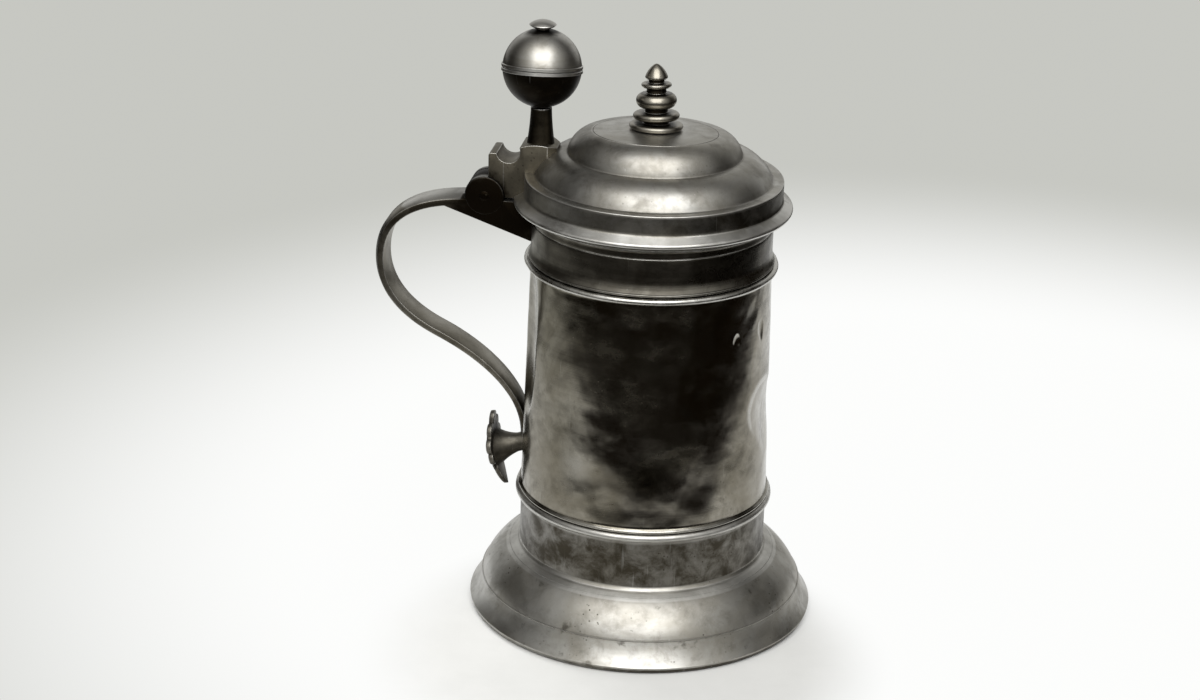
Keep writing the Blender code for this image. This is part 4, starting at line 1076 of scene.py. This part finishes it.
class TANKARD_OT_drum(bpy.types.Operator):
    """Turn the dented drum and the collar above it"""

    bl_idname = "tankard.drum"
    bl_label = "Drum and collar"

    def execute(self, context):
        v = context.scene.tankard_vessel
        drum = soften(turned(drum_pen(v), FINE_ROUND), TURNED_EDGE)
        refine(drum, DRUM_DENTS, v.drum_top_radius - v.wall / 2)
        press_dents(drum, DRUM_DENTS)
        mark_stains(drum, DRUM_STAINS)
        ripple(drum, size=0.022, depth=0.00016)
        bead = (v.upper_seam - 2 * v.upper_bead, v.upper_seam)
        ridge = (v.lower_seam, v.lower_seam + 3 * v.ridge)
        mark_skin_and_shade(drum, v.drum_top_radius + PROUD, FAR, *bead, -1.0)
        mark_skin_and_shade(drum, v.drum_foot_radius + RIDGE_PROUD, FAR, *ridge, -0.5)
        set_piece("tapered_drum", drum, pewter("drum_metal"), "vessel", ["drum"])
        collar = soften(turned(collar_pen(v)), TURNED_EDGE)
        ripple(collar, size=0.024, depth=0.00008)
        # Kept skin on the plain wall of the collar, with painted shade that deepens it on the side away from
        # the handle
        plain = (v.upper_seam + v.collar_flare_height, v.rim - v.lip_height)
        mark_skin_and_shade(collar, v.drum_top_radius - PROUD, FAR, *plain, 0.75, swing=0.5)
        set_piece("lipped_collar", collar, pewter("collar_metal"), "vessel", ["lip_collar"])
        return {"FINISHED"}


class TANKARD_OT_lid(bpy.types.Operator):
    """Turn the domed lid, with its disc sunk at the back"""

    bl_idname = "tankard.lid"
    bl_label = "Lid"

    def execute(self, context):
        v = context.scene.tankard_vessel
        s = context.scene.tankard_lid
        at = LidLevels(v, s)
        lid = turned(lid_pen(v, s))
        soften_ring(lid, at.valley, at.valley_height, VALLEY_ROUND)
        soften_ring(lid, at.step, at.ledge_height, STEP_ROUND)
        soften(lid, TURNED_EDGE)
        ripple(lid, size=0.030, depth=0.00006)
        slope = at.bottom + s.flange_rise
        band = (slope, at.ledge_height - 2 * s.ledge_edge)
        mark_skin_and_shade(lid, at.ledge - PROUD, at.ledge + PROUD, *band, 0.7, swing=0.6)
        mark_skin_and_shade(lid, at.ledge + PROUD, FAR, at.bottom, slope, -1.0)
        # Painted shade on the steps, deeper towards the handle's side, and a little painted light on the far
        # side
        mark_skin_and_shade(lid, at.disc, at.ledge - 2 * s.ledge_edge, at.ledge_height, FAR, 0.2, swing=-0.35)
        pivot = Vector((0, 0, at.disc_height))
        sag = Matrix.Rotation(-s.sag, 3, "X")
        for corner in lid.verts:
            hold = (at.valley - corner.co.xy.length) / (at.valley - at.disc)
            if hold > 0:
                sunk = pivot + sag @ (corner.co - pivot)
                corner.co = corner.co.lerp(sunk, min(hold, 1.0) ** 1.5)
        set_piece("domed_lid", lid, pewter("lid_metal"), "lid", ["lid"])
        return {"FINISHED"}


class TANKARD_OT_finial(bpy.types.Operator):
    """Turn the finial, which leans with the sunk disc"""

    bl_idname = "tankard.finial"
    bl_label = "Finial"

    def execute(self, context):
        v = context.scene.tankard_vessel
        s = context.scene.tankard_lid
        at = LidLevels(v, s)
        metal = pewter("finial_metal")
        finial = soften(turned(finial_pen(v, s), SMALL_ROUND), FINIAL_EDGE)
        base = at.crown + v.seam + s.seat_height
        upper = [corner for corner in finial.verts if corner.co.z > base + WELD]
        lean = Matrix.Rotation(-s.lean, 3, "Y")
        bmesh.ops.rotate(finial, verts=upper, cent=(0, 0, base), matrix=lean)
        sag = Matrix.Rotation(-s.sag, 3, "X")
        bmesh.ops.rotate(finial, verts=finial.verts, cent=(0, 0, at.disc_height), matrix=sag)
        set_piece("turned_finial", finial, metal, "lid", ["lid_finial"], reach=0.0050)
        return {"FINISHED"}


def thumb_place(v, s, h):
    """The middle of the block's top, where the stem stands."""
    at = LidLevels(v, s)
    return Vector((h.thumb_inset - at.ledge, 0, at.ledge_height + h.block_height))


def lever_pen(v, s, h):
    """Side view of the lever: lug over the hinge, scoop, arched block and a foot inside the lid's wall."""
    at = LidLevels(v, s)
    thumb = thumb_place(v, s, h)
    shoulder = thumb.z - h.block_arch
    lug_left = HINGE.x + h.lug_setback
    lug_top = HINGE.z + h.lug_height
    low = at.bottom + s.flange_edge
    right = thumb.x + h.block_half
    sunk = 0.0010
    pen = Pen(HINGE.x, low)
    pen.to(lug_left, HINGE.z + h.knuckle + h.lug_foot_gap)
    pen.to(lug_left, lug_top - h.lug_round)
    pen.swing(Vector((lug_left + h.lug_round, 0, lug_top - h.lug_round)), math.radians(90), 6)
    pen.to(lug_left + h.lug_thickness, lug_top)
    pen.bow(thumb.x - h.block_half, shoulder, -h.scoop, 24)
    pen.bow(right, shoulder, h.block_arch, 16)
    step_way = (at.step + right) / s.step_width
    pen.to(right, at.ledge_height + step_way * s.step_rise)
    pen.bow(-at.step, at.ledge_height - sunk, 0.6 * s.step_swell, 8)
    pen.to(sunk + s.ledge_edge - at.ledge, at.ledge_height - sunk)
    pen.to(sunk + s.ledge_edge - at.ledge, low)
    return pen.close()


class TANKARD_OT_lever(bpy.types.Operator):
    """Cast the lever, with the middle knuckle and the block under the stem"""

    bl_idname = "tankard.lever"
    bl_label = "Lever"

    def execute(self, context):
        v = context.scene.tankard_vessel
        s = context.scene.tankard_lid
        h = context.scene.tankard_hinge
        thumb = thumb_place(v, s, h)
        metal = pewter("lever_metal", grime_and_shade=((AXIS_X + HINGE.x, 0, HINGE.z), LEVER_GRIME))
        lever = slab(lever_pen(v, s, h), h.lever_width)
        corner = thumb.x + h.block_half - h.block_cant
        for side in (-1, 1):
            everything = lever.verts[:] + lever.edges[:] + lever.faces[:]
            plane = {"plane_co": (corner, side * h.lever_width / 2, 0), "plane_no": (1, side, 0)}
            bmesh.ops.bisect_plane(lever, geom=everything, clear_outer=True, **plane)
            fill_ends(lever)
        soften(lever, CAST_EDGE, 3)
        middle = (h.width - h.outer_knuckle) / 2
        spare = h.outer_knuckle + 2 * h.knuckle_gap
        for side in (-1, 1):
            space = barrel(h.knuckle + h.knuckle_gap, spare, side * middle)
            lever = joined(lever, space, "DIFFERENCE")
        long = h.width - 2 * (h.outer_knuckle + h.knuckle_gap)
        lever = joined(lever, soften(barrel(h.knuckle, long, 0), MIDDLE_EDGE), "UNION")
        set_piece("thumb_lever", lever, metal, "lid", ["lid_lever"])
        return {"FINISHED"}


class TANKARD_OT_ball(bpy.types.Operator):
    """Turn the stem, the two halves of the ball and the button"""

    bl_idname = "tankard.ball"
    bl_label = "Stem and ball"

    def execute(self, context):
        v = context.scene.tankard_vessel
        h = context.scene.tankard_hinge
        thumb = thumb_place(v, context.scene.tankard_lid, h)
        axis = AXIS_X + thumb.x
        place = (axis, 0, 0)
        neck = thumb.z + v.seam + h.stem_length
        ball_height = neck + v.seam + h.ball
        ball_top = ball_height + h.ball

        foot = thumb.z - h.block_arch
        tenon_end = ball_top + h.button_neck_height
        pen = Pen(0, tenon_end).to(h.tenon, tenon_end).to(h.tenon, neck).to(h.stem_neck, neck)
        pen.bow(h.stem_foot, foot, -h.stem_hollow, 16).to(0, foot)
        stem = soften(turned(pen, SMALL_ROUND), STEM_EDGE)
        metal = pewter("stem_metal", axis)
        set_piece("tapered_stem", stem, metal, "lid", ["thumb_stem"], place)

        # Painted shade on the ball round the foot of the button
        shade_under_button = ((axis, 0, ball_top), BUTTON_SHADE)
        for name, node, up, grime_and_shade in (
            ("upper_ball", "ball_upper_half", 1, shade_under_button),
            ("lower_ball", "ball_lower_half", -1, None),
        ):
            half = turned(self.half_ball(v, h), SMALL_ROUND)
            skin = skin_layer(half)
            # Painted shade: each half of the ball darkens towards the handle's side
            for corner in half.verts:
                corner[skin] = max(-corner.co.x / h.ball, 0.0) ** 2
            mark_skin_and_shade(half, h.ball, FAR, 0, h.ball, -1.0)
            bmesh.ops.scale(half, verts=half.verts, vec=(1, 1, up))
            for corner in half.verts:
                hold = 1 - min(abs(corner.co.z) / h.ball, 1.0) ** 2
                corner.co.rotate(Matrix.Rotation(-hold * h.ball_tilt, 3, "X"))
            bmesh.ops.translate(half, verts=half.verts, vec=(0, 0, ball_height))
            metal = pewter(name + "_metal", axis, grime_and_shade)
            set_piece(name, half, metal, "lid", [node], place)

        bottom = ball_top + v.seam
        cap = bottom + h.button_neck_height
        pen = Pen(0, cap + h.button_height)
        pen.bow(h.button, cap + h.button_rim, h.button_swell, 14)
        pen.bow(h.button_neck, cap, h.button_swell / 2, 8)
        pen.to(h.button_neck, bottom).to(h.tenon + v.seam, bottom).to(h.tenon + v.seam, cap).to(0, cap)
        button = soften(turned(pen, SMALL_ROUND), STEM_EDGE)
        metal = pewter("cap_metal", axis)
        set_piece("ball_cap", button, metal, "lid", ["ball_button"], place, reach=0.0040)
        return {"FINISHED"}

    def half_ball(self, v, h):
        """Closed profile of the upper half of the hollow ball, with a bead at its seam."""
        hole = h.tenon + v.seam
        seam = v.seam / 2
        inner = h.ball - h.ball_wall
        bead_top = seam + 2 * h.ball_bead
        proud = h.ball + 0.6 * h.ball_bead
        chamfer = 0.0003
        middle = Vector((0, 0, 0))
        pen = Pen(hole, math.sqrt(h.ball**2 - hole**2))
        pen.swing(middle, math.acos(hole / h.ball) - math.asin(bead_top / h.ball), 40)
        pen.to(proud - 0.0002, bead_top - 0.0001)
        pen.bow(proud, bead_top - 0.0004, 0.0001, 3)
        pen.to(proud, seam + chamfer).to(proud - chamfer, seam).to(inner, seam)
        pen.swing(middle, -math.acos(hole / inner), 16)
        return pen.close()


def strap_stations(v, h, k):
    """Places along the strap's S-curve, each as a frame with its size: across, outwards and along."""
    top = HINGE.z - k.drop - k.thickness / 2
    bend_z = HINGE.z - k.bend_drop
    foot_z = v.lower_seam + k.foot_height
    belly_size = k.belly_width / k.width
    bend_size = k.bend_width / k.width
    foot_size = k.foot_width / k.width
    sink = foot_size * k.thickness / 2 - k.foot_proud
    root = Vector((HINGE.x - h.knuckle / 2, 0, top))
    belly = Vector((belly_size * k.thickness / 2 - k.reach, 0, HINGE.z - k.belly_drop))
    bend = Vector((-v.drum_radius(bend_z) - k.bend_from_drum, 0, bend_z))
    foot = Vector((sink - v.drum_radius(foot_z), 0, foot_z))
    down = Vector((0, 0, -1))
    slope = Vector((math.cos(k.bend_slope), 0, -math.sin(k.bend_slope)))
    # Place and heading of each knot, straight run before and after it, and size of the strap there
    knots = (
        (root, Vector((-1, 0, 0)), 0, k.root_pull * (root.x - belly.x), 1),
        (belly, down, k.belly_rise * (root.z - belly.z), k.belly_fall * (belly.z - bend.z), belly_size),
        (bend, slope, k.bend_rise * (bend.x - belly.x), k.bend_fall * (foot.x - bend.x), bend_size),
        (foot, down, k.foot_pull * (bend.z - foot.z), 0, foot_size),
    )
    places, sizes = [], []
    for first, second in zip(knots, knots[1:]):
        handles = (first[0] + first[1] * first[3], second[0] - second[1] * second[2])
        run = geometry.interpolate_bezier(first[0], *handles, second[0], STRAP_STEPS + 1)
        if second is not knots[-1]:
            run.pop()
        places += run
        for step in range(len(run)):
            part = step / STRAP_STEPS
            sizes.append(first[4] + (second[4] - first[4]) * (3 * part * part - 2 * part**3))
    stations = []
    for index, (place, size) in enumerate(zip(places, sizes)):
        way = places[min(index + 1, len(places) - 1)] - places[max(index - 1, 0)]
        way = Vector(way).normalized()
        out = Vector((way.z, 0, -way.x))
        turn = Matrix((Vector((0, size, 0)), out * size, way)).transposed().to_4x4()
        stations.append(Matrix.Translation(place) @ turn)
    return stations


def strap(v, h, k):
    """The strap: a flat inside, upright edges and a bevelled crown, drawn out along its S-curve."""
    half, crown = k.width / 2, k.crown_width / 2
    inner, outer = -k.thickness / 2, k.thickness / 2
    edge = inner + k.edge
    corners = ((-half, inner), (half, inner), (half, edge), (crown, outer), (-crown, outer), (-half, edge))
    stations = strap_stations(v, h, k)
    shape = bmesh.new()
    ring = [shape.verts.new((across, out, 0)) for across, out in corners]
    loop = [shape.edges.new((ring[index - 1], ring[index])) for index in range(len(ring))]
    bmesh.ops.transform(shape, matrix=stations[0], verts=ring)
    for before, after in zip(stations, stations[1:]):
        made = bmesh.ops.extrude_edge_only(shape, edges=loop)
        bmesh.ops.transform(shape, matrix=after @ before.inverted(), verts=made_verts(made))
        fresh = set(made_verts(made))
        loop = [edge for edge in made_edges(made) if fresh.issuperset(edge.verts)]
    return soften(fill_ends(shape), STRAP_EDGE, 2)


def bracket_pen(v, h, k):
    """Side view of the gusset that carries the hinge on the collar."""
    inside = -(v.drum_top_radius - v.wall / 2)
    low = (-v.drum_top_radius, HINGE.z - k.bracket_drop)
    tip = (HINGE.x - k.bracket_reach, HINGE.z - k.bracket_tip_drop)
    slope = (tip[1] - low[1]) / (tip[0] - low[0])
    top = HINGE.z - k.bracket_top_drop
    pen = Pen(inside, low[1] + slope * (inside - low[0]))
    pen.to(*tip, 4).to(HINGE.x - h.knuckle, HINGE.z - k.drop - k.thickness / 2)
    return pen.to(HINGE.x, HINGE.z).to(HINGE.x + h.knuckle, top).to(inside, top).close()


def shield_pen(k):
    """Front view of the shield: scallops down both sides and a tongue that runs out to a point."""
    top, size = SHIELD_TOP
    pen = Pen(0, top + size)
    pen.swing(Vector((0, 0, top)), math.radians(SHIELD_SPREAD), 6)
    for across, up, radius in SHIELD_LOBES:
        heading = math.degrees(math.atan2(up, across))
        pen.bead(across, up, radius, heading + SHIELD_SPREAD, heading - SHIELD_SPREAD, 10)
    tongue_top = pen.tip.co.z - 0.0005
    pen.to(k.tongue_width, tongue_top)
    pen.bow(0, tongue_top - k.tongue_length, k.tongue_swell, 10)
    half = pen.shape.verts[:] + pen.shape.edges[:]
    copy = bmesh.ops.duplicate(pen.shape, geom=half)
    bmesh.ops.scale(pen.shape, verts=made_verts(copy), vec=(-1, 1, 1))
    bmesh.ops.remove_doubles(pen.shape, verts=pen.shape.verts, dist=WELD)
    return pen


class TANKARD_OT_handle(bpy.types.Operator):
    """Cast the strap handle with its bracket and the outer knuckles"""

    bl_idname = "tankard.handle"
    bl_label = "Handle"

    def execute(self, context):
        v = context.scene.tankard_vessel
        h = context.scene.tankard_hinge
        k = context.scene.tankard_handle
        # Painted shade on the strap round the bracket and the hinge
        shift = BRACKET_SHADE_SHIFT
        grime_and_shade = ((AXIS_X + HINGE.x + shift, 0, HINGE.z - shift), BRACKET_SHADE)
        metal = pewter("handle_metal", grime_and_shade=grime_and_shade)
        handle = strap(v, h, k)
        bracket = soften(slab(bracket_pen(v, h, k), h.width - 2 * v.seam), STRAP_EDGE, 2)
        handle = joined(handle, bracket, "UNION")
        handle = joined(handle, soften(barrel(h.knuckle, h.width, 0), OUTER_EDGE, 3), "UNION")
        long = h.width - 2 * h.outer_knuckle
        handle = joined(handle, barrel(h.knuckle + h.knuckle_gap, long, 0), "DIFFERENCE")
        skin = skin_layer(handle)
        foot_height = v.lower_seam + k.foot_height
        foot = Vector((-v.drum_radius(foot_height), 0, foot_height))
        # Painted shade and highlight: faces that point away from the drum darken unless they face up, side
        # faces near the hinge and every face near the strap's foot darken more, and upward faces at the top
        # are lightened
        for corner in handle.verts:
            up = corner.normal.z
            corner[skin] = STRAP_SHADE * max(-corner.normal.x - max(up, 0.0), 0.0)
            near_hinge = max(1 - (corner.co - HINGE).length / HINGE_SHADE_REACH, 0.0)
            near_foot = max(1 - (corner.co - foot).length / FOOT_SHADE_REACH, 0.0)
            sides = abs(corner.normal.y) * (1 - max(up, 0.0))
            corner[skin] += STRAP_SHADE * (sides * near_hinge + near_foot)
            if corner.co.z > HINGE.z - 2 * k.thickness:
                corner[skin] -= STRAP_SHADE * max(up - 0.5, 0.0)
        set_piece("strap_handle", handle, metal, "vessel", ["handle"])
        return {"FINISHED"}


class TANKARD_OT_pin(bpy.types.Operator):
    """Turn the hinge pin, riveted at both ends"""

    bl_idname = "tankard.pin"
    bl_label = "Hinge pin"

    def execute(self, context):
        h = context.scene.tankard_hinge
        metal = pewter("pin_metal", AXIS_X + HINGE.x)
        half = h.width / 2 + h.pin_head
        head_swell = 0.0002
        pen = Pen(0, half)
        pen.bow(h.pin, half - h.pin_head, head_swell, 8)
        pen.to(h.pin, h.pin_head - half, 2)
        pen.bow(0, -half, head_swell, 8)
        pin = turned(pen, SMALL_ROUND)
        across = Matrix.Rotation(math.radians(90), 3, "X")
        bmesh.ops.rotate(pin, verts=pin.verts, cent=(0, 0, 0), matrix=across)
        place = (AXIS_X + HINGE.x, 0, HINGE.z)
        set_piece("riveted_pin", pin, metal, "vessel", ["hinge_pin"], place)
        return {"FINISHED"}


class TANKARD_OT_tail(bpy.types.Operator):
    """Cast the drooping arm under the strap with its scalloped shield"""

    bl_idname = "tankard.tail"
    bl_label = "Tail and shield"

    def execute(self, context):
        v = context.scene.tankard_vessel
        k = context.scene.tankard_handle
        height = v.lower_seam + k.foot_height - k.tail_arm - v.seam
        wall = v.drum_radius(height)
        grime_and_shade = ((AXIS_X - wall - k.tail_length - SHIELD_GRIME_SHIFT, 0, height), SHIELD_GRIME)
        metal = pewter("tail_metal", grime_and_shade=grime_and_shade)
        lean = Matrix.Translation((-wall, 0, height)) @ Matrix.Rotation(-k.tail_lean, 4, "Y")
        pen = Pen(0, k.tail_length).to(k.tail_flare, k.tail_length)
        pen.bow(k.tail_arm, k.tail_arm_length, -k.tail_hollow, 14)
        pen.to(k.tail_arm, -v.wall / 2, 2).to(0, -v.wall / 2)
        arm = turned(pen, SMALL_ROUND)
        for corner in arm.verts:
            corner.co.x -= k.tail_droop * max(corner.co.z / k.tail_length, 0.0)
        outwards = lean @ Matrix.Rotation(math.radians(-90), 4, "Y")
        bmesh.ops.transform(arm, matrix=outwards, verts=arm.verts)
        shield = soften(slab(shield_pen(k), k.shield_thickness), CAST_EDGE, 3)
        bmesh.ops.triangulate(shield, faces=shield.faces)
        for corner in shield.verts:
            corner.co.y -= k.shield_bow * (corner.co.z / SHIELD_REACH) ** 2
        face = lean @ Matrix.Translation((-k.tail_length, 0, 0)) @ Matrix.Rotation(math.radians(90), 4, "Z")
        bmesh.ops.transform(shield, matrix=face, verts=shield.verts)
        tail = joined(shield, arm, "UNION")
        set_piece("shield_tail", tail, metal, "vessel", ["tail_shield"])
        return {"FINISHED"}


class TANKARD_OT_stage(bpy.types.Operator):
    """Set the camera, the pale floor and the soft light"""

    bl_idname = "tankard.stage"
    bl_label = "Stage"

    def execute(self, context):
        settings = context.scene.tankard_stage
        context.scene.view_settings.view_transform = "Standard"
        self.camera(context, settings)
        self.floor(context, settings)
        self.world(context, settings)
        for name, settled in SOFTBOXES.items():
            self.softbox(context, name, *settled)
        return {"FINISHED"}

    def camera(self, context, settings):
        data = bpy.data.cameras.new("photo_camera")
        data.sensor_fit = "HORIZONTAL"
        data.sensor_width = FILM_WIDTH
        data.lens = settings.lens
        camera = bpy.data.objects.new("photo_camera", data)
        context.scene.collection.objects.link(camera)
        turn = Matrix.Rotation(settings.camera_yaw, 4, "Z")
        tip = Matrix.Rotation(math.radians(90) - settings.camera_pitch, 4, "X")
        roll = Matrix.Rotation(settings.camera_roll, 4, "Z")
        camera.matrix_world = Matrix.Translation(settings.camera_place) @ turn @ tip @ roll
        context.scene.camera = camera

    def softbox(self, context, name, place, target, width, tall, power, mirrored):
        lamp = bpy.data.lights.new(name, "AREA")
        lamp.shape = "RECTANGLE"
        lamp.size = width
        lamp.size_y = tall
        lamp.energy = power
        box = bpy.data.objects.new(name, lamp)
        context.scene.collection.objects.link(box)
        box.location = place
        box.rotation_euler = (Vector(target) - Vector(place)).to_track_quat("-Z", "Y").to_euler()
        box.visible_glossy = mirrored

    def floor(self, context, settings):
        """A pale floor: lit under the tankard, glowing round it as a painted pool of light, and mirrored dark
        past the sheet's edge.
        """
        shape = bmesh.new()
        bmesh.ops.create_circle(shape, cap_ends=True, radius=FLOOR_RADIUS, segments=SMALL_ROUND)
        bmesh.ops.translate(shape, verts=shape.verts, vec=(0, 0, -FLOOR_DEPTH))
        mesh = bpy.data.meshes.new("floor_sheet")
        shape.to_mesh(mesh)
        shape.free()
        material = bpy.data.materials.new("floor_paper")
        material.use_nodes = True
        tree = material.node_tree
        tree.nodes.clear()
        place = wire(tree, "ShaderNodeTexCoord").outputs["Object"]
        rays = wire(tree, "ShaderNodeLightPath").outputs

        # The sheet that the metal mirrors, with the dark studio past its edge
        back = Vector((-math.sin(settings.sheet_turn), math.cos(settings.sheet_turn), 0))
        middle = Vector((AXIS_X, 0, 0)) + back * settings.sheet_back
        reach = gauge(tree, "DISTANCE", place, middle)
        inner, outer = settings.sheet_reach - SHEET_SOFTNESS, settings.sheet_reach + SHEET_SOFTNESS
        past = sums(tree, "MULTIPLY", fade(tree, reach, inner, outer), rays["Is Glossy Ray"])
        studio = opaque(settings.studio)

        # The lit floor under the tankard, and round it a painted pool of light that glows white and fades to
        # the backdrop
        grain = fade(tree, cloud(tree, place, 60, 5, 0.6), 0.3, 0.7)
        paper = tint(tree, grain, opaque(settings.floor_grain), opaque(settings.floor))
        lit = wire(tree, "ShaderNodeBsdfDiffuse", {"Color": tint(tree, past, paper, studio)}).outputs[0]
        away = gauge(tree, "DISTANCE", place, Vector((AXIS_X + 0.13, 0.10, 0)))
        far = tint(tree, fade(tree, away, 0.30, 0.62), opaque(settings.glow), opaque(settings.backdrop))
        glow = wire(tree, "ShaderNodeEmission", {"Color": tint(tree, past, far, studio)}).outputs[0]
        shown = sums(tree, "ADD", rays["Is Camera Ray"], rays["Is Glossy Ray"])
        shown = sums(tree, "ADD", shown, rays["Is Transmission Ray"])
        near = gauge(tree, "DISTANCE", place, Vector((AXIS_X, -0.06, 0)))
        part = sums(tree, "MULTIPLY", fade(tree, near, 0.075, 0.125), shown)
        mixed = wire(tree, "ShaderNodeMixShader", {0: part, 1: lit, 2: glow}).outputs[0]
        wire(tree, "ShaderNodeOutputMaterial", {"Surface": mixed})
        mesh.materials.append(material)
        sheet = bpy.data.objects.new("floor_sheet", mesh)
        context.scene.collection.objects.link(sheet)

    def world(self, context, settings):
        """A room that is pale behind the tankard and over the camera, and dark elsewhere."""
        world = bpy.data.worlds.new("room")
        context.scene.world = world
        world.use_nodes = True
        tree = world.node_tree
        tree.nodes.clear()
        way = wire(tree, "ShaderNodeTexCoord").outputs["Generated"]
        rays = wire(tree, "ShaderNodeLightPath").outputs
        back = -Vector((settings.camera_place[0] - AXIS_X, settings.camera_place[1], 0)).normalized()
        behind = gauge(tree, "DOT_PRODUCT", way, back)
        room = tint(tree, fade(tree, behind, 0.4, 0.9), opaque(settings.studio), opaque(settings.wall))
        over = (Vector((0, 0, 0.8)) - back).normalized()
        above = gauge(tree, "DOT_PRODUCT", way, over)
        room = tint(tree, fade(tree, above, 0.1, 0.8), room, opaque(settings.ceiling))
        seen = tint(tree, rays["Is Camera Ray"], room, opaque(settings.backdrop))
        glow = wire(tree, "ShaderNodeBackground", {"Color": seen}).outputs[0]
        wire(tree, "ShaderNodeOutputWorld", {"Surface": glow})


class TANKARD_PT_panel(bpy.types.Panel):
    """Lists the tankard's pieces and their sizes"""

    bl_idname = "TANKARD_PT_panel"
    bl_label = "Tankard"
    bl_space_type = "VIEW_3D"
    bl_region_type = "UI"
    bl_category = "Tankard"

    def draw(self, context):
        column = self.layout.column(align=True)
        for operator in OPERATORS:
            column.operator(operator.bl_idname)
        for name, group in GROUPS.items():
            box = self.layout.box()
            box.label(text=group.__doc__)
            values = getattr(context.scene, name)
            for size in group.__annotations__:
                box.prop(values, size)


GROUPS = {
    "tankard_vessel": VesselSizes,
    "tankard_lid": LidSizes,
    "tankard_hinge": HingeSizes,
    "tankard_handle": HandleSizes,
    "tankard_tones": PewterTones,
    "tankard_stage": StageSettings,
}
OPERATORS = (
    TANKARD_OT_foot,
    TANKARD_OT_drum,
    TANKARD_OT_lid,
    TANKARD_OT_finial,
    TANKARD_OT_lever,
    TANKARD_OT_ball,
    TANKARD_OT_handle,
    TANKARD_OT_pin,
    TANKARD_OT_tail,
    TANKARD_OT_stage,
)
CLASSES = (*GROUPS.values(), *OPERATORS, TANKARD_PT_panel)


def register():
    for item in CLASSES:
        bpy.utils.register_class(item)
    for name, group in GROUPS.items():
        setattr(bpy.types.Scene, name, PointerProperty(type=group))


def unregister():
    for name in GROUPS:
        delattr(bpy.types.Scene, name)
    for item in reversed(CLASSES):
        bpy.utils.unregister_class(item)


def main():
    register()
    bpy.ops.tankard.foot()
    bpy.ops.tankard.drum()
    bpy.ops.tankard.lid()
    bpy.ops.tankard.finial()
    bpy.ops.tankard.lever()
    bpy.ops.tankard.ball()
    bpy.ops.tankard.handle()
    bpy.ops.tankard.pin()
    bpy.ops.tankard.tail()
    bpy.ops.tankard.stage()


if __name__ == "__main__":
    main()
